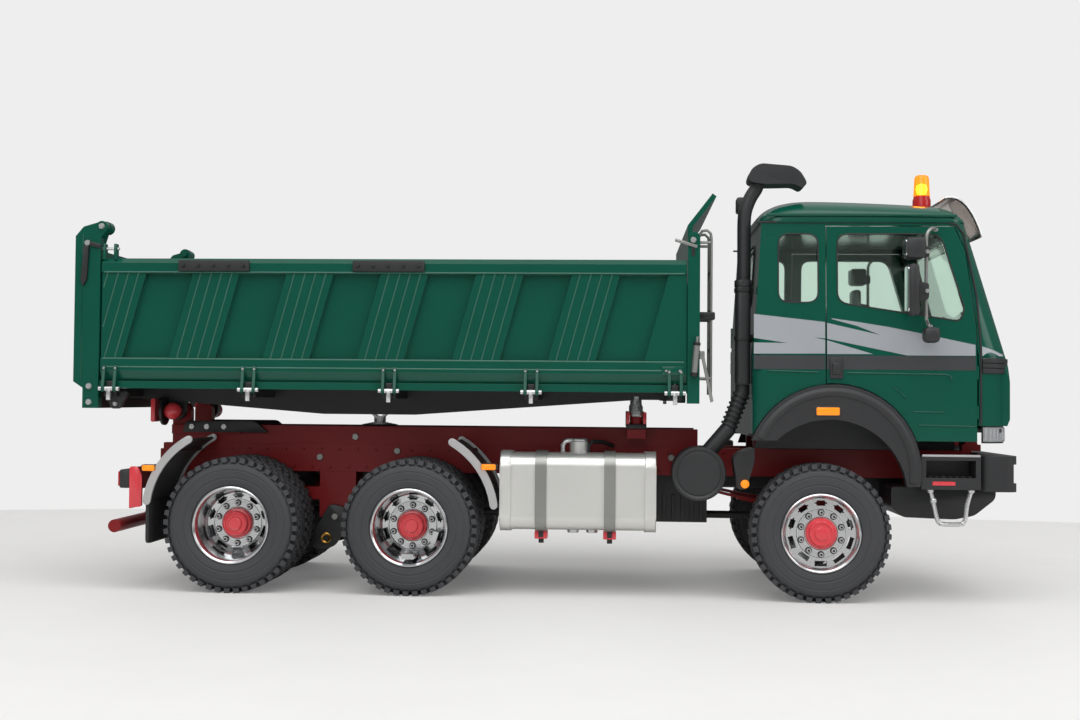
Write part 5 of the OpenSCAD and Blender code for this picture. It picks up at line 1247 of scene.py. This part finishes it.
MIRROR_HEADS = (  # two opposite corners, and the radius of the edges
    ((219.2, 90.5, 207.4), (230.5, 103.2, 219.6), 1.7),
    ((220.4, 91.0, 173.4), (226.8, 104.0, 204.2), 2.2),
    ((229.8, 92.6, 157.3), (239.4, 102.2, 166.6), 2.6),
)
MIRROR_NECKS = (
    ([(224.0, 194.5), (233.4, 192.8), (233.4, 183.6), (224.0, 180.5)], 1.6, 93.2, 97.4, 0.8),
    ([(228.0, 215.5), (233.6, 214.6), (233.6, 208.6), (228.0, 208.0)], 1.2, 93.2, 97.4, 0.8),
)
MIRROR_PANES = (  # outline across and up, radius of its corners, and its place along the truck
    (rectangle(91.6, 208.6, 102.2, 218.5), 1.8, (218.9, 219.6)),
    (rectangle(92.2, 175.2, 102.9, 202.6), 2.4, (220.1, 220.9)),
)
MIRROR_TUBE = [(240.4, 83.4, 226.2), (238.6, 88.5, 226.6), (235.0, 93.5, 225.4), (232.6, 95.2, 222.0),
               (232.2, 95.3, 214.0), (232.2, 95.3, 176.0), (232.6, 95.0, 171.0), (234.4, 91.5, 168.4),
               (237.0, 84.6, 167.4)]
MIRROR_ARM = ([(233.8, 92.6, 168.9), (234.4, 95.6, 165.4)], 0.9)
MIRROR_CLAMPS = ((232.2, 97.6, 211.6), (232.2, 97.6, 188.2), (240.0, 85.0, 226.3), (236.8, 86.0, 167.5))


class TIPPER_OT_mirrors(bpy.types.Operator):
    """Mirror heads with silvered glass on a bent tube, one set on each door"""

    bl_idname = "tipper.mirrors"
    bl_label = "Mirrors"

    def execute(self, context):
        for side, way in SIDES.items():
            door = f"door_{side}"
            heads, glass, tube = solids(3, way)
            heads.boxes(MIRROR_HEADS).flats(MIRROR_NECKS)
            for outline, radius, (x0, x1) in MIRROR_PANES:
                glass.prism(rounded(outline, radius), "x", x0, x1)
            tube.tube(curve(MIRROR_TUBE, 3), 1.05, 12).tube(*MIRROR_ARM)
            heads.piece(f"mirror_{side}_heads", door, "black_abs", replaces=(f"mirror_{side}",))
            glass.piece(f"mirror_{side}_glass", door, "mirror_glass")
            tube.piece(f"mirror_{side}_tube", door, "grey_steel")
            studs(f"mirror_{side}_clamps", door, "bright_steel", outward(MIRROR_CLAMPS, (way,)), 1.5, 1.4, 12)
        return {"FINISHED"}


# FRONT

TRAY = [(219.0, 69.5), (219.0, 57.0), (226.0, 50.5), (258.0, 49.5), (270.0, 52.0), (283.0, 62.5),
        (283.0, 69.5)]
TRAY_HALF_W = 58
CORNER_LENS_Z, CORNER_LENS_RIBS = (98.6, 107.2), 7
ARCH_X, ARCH_Z = 179, 80
# Section of the rib round the arch: radius, and distance out from the truck's middle.
ARCH_RIB = [(50.6, 87.8), (48.6, 88.7), (47.6, 89.0), (46.4, 89.0), (45.4, 88.6), (44.8, 87.8)]
ARCH_TURNS = [math.radians(-8 + 4 * k) for k in range(42)]
ARCH_APRON, ARCH_APRON_Y = arc(ARCH_X, ARCH_Z, 46.5, 15.3, 164.7), (55.4, 57.4)
ARCH_MARKER = ((168.6, 87.6, 113.6), (182.4, 89.2, 118.4), 0.7)
ARCH_MARKER_SEAT = ((167.6, 87.2, 112.8), (183.4, 88.3, 119.2), 0.4)
STEP_EDGE = ((232.0, 83.8, 89.2), (266.6, 85.5, 90.6), 0.3)
STEP_STRIP = ((238.2, 84.4, 72.0), (251.8, 85.4, 74.4), 0.3)
STEP_Y = 81
STEP_TREAD = ((243.0, STEP_Y - 2.6, 47.6), (258.0, STEP_Y + 2.6, 49.6), 0.7)
STEP_LEGS = [(237.6, 69.8), (239.4, 63.0), (241.8, 52.0), (244.0, 49.0), (250.0, 48.4), (256.4, 48.8),
             (258.6, 51.6), (259.6, 60.0), (262.4, 69.6)]
STEP_JOINTS = ((237.8, 69.0), (239.6, 62.6), (262.2, 69.0))
TREAD_X, TREAD_Y, TREAD_Z = range(238, 263, 4), (72.5, 76.5, 80.5), 76.7
HEADLAMPS_X, HEADLAMPS_Y, HEADLAMPS_Z = 285.2, (56.8, 69.2), 79.2
HEADLAMP_RIM = [(4.3, 0.0), (5.4, 0.0), (5.4, 0.9), (4.9, 1.3), (4.3, 0.9)]


class TIPPER_OT_front(bpy.types.Operator):
    """Corner lamps, arch markers, step trim and headlamp rims"""

    bl_idname = "tipper.front"
    bl_label = "Front trim"

    def execute(self, context):
        lenses, backs, ambers, silver, red, rims, rungs, tray = solids(8)
        tray.prism(rounded(TRAY, 2.5), "y", -TRAY_HALF_W, TRAY_HALF_W, 1.0)
        low, high = CORNER_LENS_Z
        for _ in both_sides(lenses, backs, ambers, silver, red, rims, rungs):
            lenses.prism(corner_band(CORNER_R - 1.2, 0.8, 88, 22), "z", low, high, 0.3)
            for k in range(CORNER_LENS_RIBS):
                a = 84 - 9 * k
                lenses.prism(corner_band(CORNER_R - 0.6, 0.5, a, a - 3), "z", low + 0.8, high - 0.8)
            backs.prism(corner_band(CORNER_R - 2.2, 0.9, 90, 18), "z", low - 1.0, high + 1.1)
            ambers.box(*ARCH_MARKER)
            backs.box(*ARCH_MARKER_SEAT)
            silver.box(*STEP_EDGE)
            backs.skin([[(ARCH_X + r * math.cos(a), y, ARCH_Z + r * math.sin(a)) for r, y in ARCH_RIB]
                        for a in ARCH_TURNS])
            backs.prism(ARCH_APRON, "y", *ARCH_APRON_Y)
            rungs.tube([(p.x, STEP_Y, p.y) for p in curve(STEP_LEGS, 3)], 1.35, 12)
            rungs.box(*STEP_TREAD)
            for x, z in STEP_JOINTS:
                rungs.lathe(ball(2.1, -90, 18), (x, STEP_Y, z), "z", 20, closed=False)
            red.box(*STEP_STRIP)
            for y in HEADLAMPS_Y:
                rims.lathe(HEADLAMP_RIM, (HEADLAMPS_X, y, HEADLAMPS_Z), axis="x", steps=32)
        lenses.piece("corner_lenses", "cab", "clear_lens")
        backs.piece("lamp_backs", "cab", "black_abs")
        ambers.piece("arch_markers", "cab", "amber_lens")
        silver.piece("step_edges", "chassis", "silver_paint")
        red.piece("step_strips", "chassis", "hub_enamel")
        rungs.piece("step_loops", "chassis", "bright_steel", replaces=("step_rungs",))
        tray.piece("front_tray", "chassis", "black_abs")
        rims.piece("headlamp_rims", "chassis", "bright_steel")
        treads = [((x, way * y, TREAD_Z), (0, 0, 1))
                  for way in SIDES.values() for x in TREAD_X for y in TREAD_Y]
        studs("step_treads", "chassis", "black_abs", treads, 0.9, 0.7, 8, 0.7)
        return {"FINISHED"}


# CHASSIS

RAIL_FACE_Y = 27.2
RIVET_ROWS = ((75.8, -236), (87.4, -230))  # height, and start along the truck
RIVET_PITCH, RIVETS_END_X = 12, 122
LINK_SCREW = (-135.8, 30.6, 43.7)
RING_SCREWS = ((-146.9, 82.4), (-123.4, 96.0), (-95.6, 86.9), (20.0, 82.0), (84.0, 84.5))
TANK_X, TANK_Y, TANK_Z = (-23.0, 72.5), (-80.0, -42.0), (40.5, 89.0)
TANK_BAND_W, TANK_BAND_PROUD = 7.0, 0.5
TANK_STRAPS_X = (2.0, 44.5)
TANK_CLAMPS = [((x - 4.0, -72.4, 35.4), (x + 4.0, -63.5, 40.2), 0.5) for x in TANK_STRAPS_X]
TANK_CLIPS = [((x - 1.5, -72.9, 36.4), (x + 1.5, -72.2, 40.0), 0.2) for x in TANK_STRAPS_X]
TANK_BOLTS = [([(x, -68.0, 36.4), (x, -68.0, 32.6)], 1.7, 12) for x in TANK_STRAPS_X]
TANK_PLUGS_AT = ((21.6, -62, 0), (33.4, -62, 0))
TANK_PLUG = [(0.0, 38.6), (3.2, 38.6), (3.6, 39.2), (3.6, 41.5), (0.0, 41.5)]
FILLER_CAP = [(0.0, 94.6), (4.8, 94.6), (5.6, 95.4), (5.6, 96.6), (4.6, 97.2), (0.0, 97.2)]
FILTER_AT = (98.8, -80.0, 77.0)
FILTER_COVER = [(0.0, -2.9), (16.0, -2.9), (16.5, -2.4), (16.5, 0.4), (15.9, 1.2), (14.9, 1.3), (14.2, 0.6),
                (13.4, 0.4), (12.8, 0.9), (0.0, 1.2)]
BREATHER = ([(14.5, -54, 88.6), (14.5, -54, 93.0), (16.2, -54, 95.4), (20.0, -53, 96.0)], 1.5, 12)
FUEL_LINE = ([(30.5, -54, 88.6), (30.5, -54, 92.8), (33.0, -52, 95.2), (40.0, -40, 94.6), (46.0, -29, 92.0)],
             1.4, 12)
BOGIE_LINK = ([(-157.0, 26.5), (-146.0, 21.5), (-136.0, 24.0), (-128.5, 36.0), (-129.0, 50.0),
               (-139.5, 52.0), (-146.0, 40.0)], 3.0, 26.8, 30.2, 0.5)
BUSH, BUSH_AT = [(2.0, -0.4), (3.6, -0.4), (3.6, 0.9), (3.0, 1.2), (2.0, 0.8)], (-141.5, 30.2, 29.6)
LAMP_PLATES = (((-255.4, 27, 66.0), (-254.0, 81, 76.8), 0.3), ((-255.4, 60, 51.5), (-254.0, 81, 66.4), 0.3))
LAMP_CHEEK = ([(-255.2, 52.0), (-247.4, 52.6), (-247.4, 72.0), (-250.0, 77.6), (-255.2, 77.6)],
              1.4, 79.8, 81.2, 0.3)
LAMP_HOUSING = ((-262.0, 55.5, 64.0), (-255.2, 80.5, 75.6), 1.0)
TAIL_LENSES = [((-263.2, y0, 65.2), (-261.6, y1, 74.4), 0.5) for y0, y1 in ((56.6, 63.6), (72.0, 79.4))]
TAIL_AMBER = ((-263.2, 64.2, 65.2), (-261.6, 71.4, 74.4), 0.5)
BED_HOOK = ([(-272.0, 124.5), (-256.4, 124.5), (-261.8, 113.6), (-267.2, 113.6)], 1.6, 79, 82.5, 0.4)
BED_HOOK_PIN = (-264.6, 82.8, 116.6)


class TIPPER_OT_chassis(bpy.types.Operator):
    """Tank bands and fittings, filter cover, rivets, ring screws, links and rear lamps"""

    bl_idname = "tipper.chassis"
    bl_label = "Chassis fittings"

    def execute(self, context):
        caps, red, black, bright = solids(4)
        self.tank(caps, red, black, bright)
        caps.piece("tank_bands", "chassis", "brushed_aluminium", 40)
        links, brass = solids(2)
        for _ in both_sides(red, black, links, brass):
            links.flats([BOGIE_LINK])
            brass.lathe(BUSH, BUSH_AT, steps=28)
            red.boxes(LAMP_PLATES).flats([LAMP_CHEEK])
            black.box(*LAMP_HOUSING)
        red.piece("red_fittings", "chassis", "hub_enamel")
        black.piece("black_fittings", "chassis", "black_abs")
        bright.piece("tank_fittings", "chassis", "bright_steel")
        links.piece("bogie_links", "chassis", "black_steel")
        brass.piece("bogie_bushes", "chassis", "turned_brass")
        rivets = [(x, RAIL_FACE_Y, z)
                  for z, first in RIVET_ROWS for x in range(first, RIVETS_END_X, RIVET_PITCH)]
        rivet_r = context.scene.truck_sizes.rivet_radius / MM
        studs("frame_rivets", "chassis", "frame_enamel", outward(rivets), rivet_r, 0.7, 8)
        rings = [(x, RAIL_FACE_Y, z) for x, z in RING_SCREWS] + [LINK_SCREW]
        socket_screws("frame_screws", "frame_screw_sockets", "chassis", "grey_steel", outward(rings),
                      head=(2.3, 1.0, 0.85), socket=(1.15, 0.2, 0.55))
        tails, ambers, hooks = solids(3)
        for _ in both_sides(tails, ambers, hooks):
            tails.boxes(TAIL_LENSES)
            ambers.box(*TAIL_AMBER)
            hooks.flats([BED_HOOK])
        tails.piece("tail_lenses", "chassis", "red_lens", replaces=("lamps",))
        ambers.piece("tail_ambers", "chassis", "amber_lens")
        hooks.piece("bed_hooks", "bed", "black_steel")
        studs("bed_hook_pins", "bed", "bright_steel", outward([BED_HOOK_PIN]), 1.5, 0.9, 16)
        return {"FINISHED"}

    def tank(self, caps, red, black, bright):
        """Bands, clamps, plugs and lines of the fuel tank, and the air filter's cover"""
        x0, x1 = TANK_X
        y0, y1 = TANK_Y
        z0, z1 = TANK_Z
        proud = TANK_BAND_PROUD
        section = rounded(rectangle(y0 - proud, z0 - proud, y1 + proud, z1 + proud), 12.0, 8)
        for start in (x0 - 0.4, x1 - TANK_BAND_W + 0.4):
            caps.prism(section, "x", start, start + TANK_BAND_W, 1.4)
        red.boxes(TANK_CLAMPS)
        black.boxes(TANK_CLIPS).tubes(TANK_BOLTS).tube(*FUEL_LINE)
        for at in TANK_PLUGS_AT:
            bright.lathe(TANK_PLUG, at, "z", 24)
        bright.lathe(FILLER_CAP, ((x0 + x1) / 2, -52, 0), "z", 28)
        bright.tube(*BREATHER)
        black.lathe(FILTER_COVER, FILTER_AT, way=-1)


# STAGE

CAMERA_AT = (48.705, -918.463, 121.925)
CAMERA_YAW, CAMERA_PITCH, CAMERA_ROLL = -0.0569, 0.0286, 0.0088
FOCAL_PX = 1363.17
PHOTO_W = 1080
TABLE_R, TABLE_Y = 2.0, -1.42
LAMPS = {  # soft box: (place, what it faces, width and height, power), in metres and watts
    "overhead_box": ((0.1, -0.8, 1.6), (0.0, -0.1, 0.1), (2.0, 1.2), 16),
    "front_box": ((-0.5, -1.9, 1.2), (0.0, 0.0, 0.1), (1.5, 0.9), 8),
    "right_box": ((1.7, -0.9, 0.9), (0.1, 0.0, 0.12), (0.9, 0.9), 6),
}


def camera():
    """The photograph's viewpoint."""
    data = bpy.data.cameras.new("photo_camera")
    data.sensor_fit = "HORIZONTAL"
    data.sensor_width = 36.0
    data.lens = FOCAL_PX * data.sensor_width / PHOTO_W
    data.clip_start = 0.01
    level = math.cos(CAMERA_PITCH)
    ahead = Vector((math.sin(CAMERA_YAW) * level, math.cos(CAMERA_YAW) * level, math.sin(CAMERA_PITCH)))
    across = Vector((math.cos(CAMERA_YAW), -math.sin(CAMERA_YAW), 0))
    above = across.cross(ahead)
    right = across * math.cos(CAMERA_ROLL) + above * math.sin(CAMERA_ROLL)
    up = above * math.cos(CAMERA_ROLL) - across * math.sin(CAMERA_ROLL)
    obj = bpy.data.objects.new("photo_camera", data)
    turn = Matrix((right, up, -ahead)).transposed().to_4x4()
    obj.matrix_world = Matrix.Translation(Vector(CAMERA_AT) * MM) @ turn
    bpy.context.scene.collection.objects.link(obj)
    bpy.context.scene.camera = obj


def lamp(name, at, aim, size, power):
    """A soft box at a place, turned to face a point."""
    data = bpy.data.lights.new(name, "AREA")
    data.shape = "RECTANGLE"
    data.size, data.size_y = size
    data.energy = power
    obj = bpy.data.objects.new(name, data)
    obj.location = at
    obj.rotation_euler = (Vector(aim) - Vector(at)).to_track_quat("-Z", "Y").to_euler()
    bpy.context.scene.collection.objects.link(obj)


def studio():
    """White background, and a room whose white ceiling shows in metal and paint above its dimmer walls."""
    world = bpy.data.worlds.new("studio")
    world.use_nodes = True
    tree = world.node_tree
    tree.nodes.clear()
    path, seen = straight_sight(tree)
    power = span(tree, seen, 0.7, 1.0)
    toward = add(tree, "ShaderNodeTexCoord")
    axes = add(tree, "ShaderNodeSeparateXYZ", {"Vector": toward.outputs["Generated"]})
    mirrored = add(tree, "ShaderNodeMapRange",
                   {"Value": axes.outputs["Z"], "From Min": 0.2, "From Max": 0.75, "To Min": 0.14,
                    "To Max": 1.0})
    mirror = add(tree, "ShaderNodeMath",
                 {0: path.outputs["Is Glossy Ray"], 1: path.outputs["Is Transmission Ray"]},
                 operation="SUBTRACT", use_clamp=True)
    room = add(tree, "ShaderNodeMix",
               {0: mirror.outputs[0], 2: power, 3: mirrored.outputs["Result"]})
    sky = add(tree, "ShaderNodeBackground", {"Color": linear("#eeeeee"), "Strength": room.outputs[0]})
    add(tree, "ShaderNodeOutputWorld", {"Surface": sky.outputs["Background"]})
    return world


class TIPPER_OT_stage(bpy.types.Operator):
    """Pale table top, soft studio light and the camera"""

    bl_idname = "tipper.stage"
    bl_label = "Stage"

    def execute(self, context):
        camera()
        scene = context.scene
        scene.view_settings.view_transform = "Standard"
        scene.world = studio()
        table = bpy.data.meshes.new("table_top")
        bm = bmesh.new()
        bmesh.ops.create_circle(bm, cap_ends=True, segments=160, radius=TABLE_R)
        bmesh.ops.translate(bm, vec=(0.0, TABLE_Y, 0.0), verts=bm.verts)
        bm.to_mesh(table)
        bm.free()
        table.materials.append(surface("white_laminate"))
        top = bpy.data.objects.new("table_top", table)
        scene.collection.objects.link(top)
        for name, (at, aim, size, power) in LAMPS.items():
            lamp(name, at, aim, size, power)
        return {"FINISHED"}


# PAINT AND METAL ON THE PACKED SOLIDS

NODE_FINISH = {  # finish: the solids that wear it and that no piece replaces
    "frame_enamel": ("frame_rails", "subframe", "leaf_springs", "underrun_bar"),
    "black_steel": ("front_axle", "rear_axles", "driveline", "knuckle_right", "knuckle_left",
                    "cylinder_barrel", "bed_underframe", "bed_bearers"),
    "brushed_aluminium": ("fuel_tank",),
    "grey_steel": ("tank_straps", "ladder"),
    "bright_steel": ("tie_rod", "cylinder_stage_1", "cylinder_stage_2", "cylinder_stage_3"),
    "black_abs": ("battery_box", "air_filter", "bumper", "cab_steps", "grille", "cab_arches"),
    "clear_lens": ("headlamps",),
    "green_enamel": ("bed_floor", "bed_ends", "side_wall_right", "side_wall_left", "tailgate", "cab_shell",
                     "cab_front", "door_right", "door_left"),
    "cab_trim": ("cab_interior",),
    "window_glass": ("cab_glass", "door_glass_right", "door_glass_left"),
}


class TIPPER_OT_paint(bpy.types.Operator):
    """Paint, metal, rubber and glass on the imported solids"""

    bl_idname = "tipper.paint"
    bl_label = "Paint"

    def execute(self, context):
        for kind, names in NODE_FINISH.items():
            for name in names:
                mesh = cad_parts[name].data
                mesh.materials.clear()
                mesh.materials.append(surface(kind))
        return {"FINISHED"}


OPERATORS = (TIPPER_OT_stage, TIPPER_OT_paint, TIPPER_OT_tyres, TIPPER_OT_rims, TIPPER_OT_fenders,
             TIPPER_OT_walls, TIPPER_OT_bed_fittings, TIPPER_OT_livery, TIPPER_OT_windows, TIPPER_OT_roof,
             TIPPER_OT_mirrors, TIPPER_OT_front, TIPPER_OT_chassis)


class TIPPER_PT_panel(bpy.types.Panel):
    """Lists the steps that dress the truck"""

    bl_idname = "TIPPER_PT_panel"
    bl_label = "Tipper truck"
    bl_space_type = "VIEW_3D"
    bl_region_type = "UI"
    bl_category = "Tipper"

    def draw(self, context):
        for group in (context.scene.truck_sizes, context.scene.truck_colours):
            for name in group.bl_rna.properties.keys():
                if name not in {"rna_type", "name"}:
                    self.layout.prop(group, name)
        for step in OPERATORS:
            self.layout.operator(step.bl_idname)


CLASSES = (TruckSizes, TruckColours) + OPERATORS + (TIPPER_PT_panel,)


def register():
    for cls in CLASSES:
        bpy.utils.register_class(cls)
    bpy.types.Scene.truck_sizes = PointerProperty(type=TruckSizes)
    bpy.types.Scene.truck_colours = PointerProperty(type=TruckColours)


def unregister():
    del bpy.types.Scene.truck_colours
    del bpy.types.Scene.truck_sizes
    for cls in reversed(CLASSES):
        bpy.utils.unregister_class(cls)


def main():
    register()
    for step in OPERATORS:
        group, name = step.bl_idname.split(".")
        getattr(getattr(bpy.ops, group), name)()


if __name__ == "__main__":
    main()
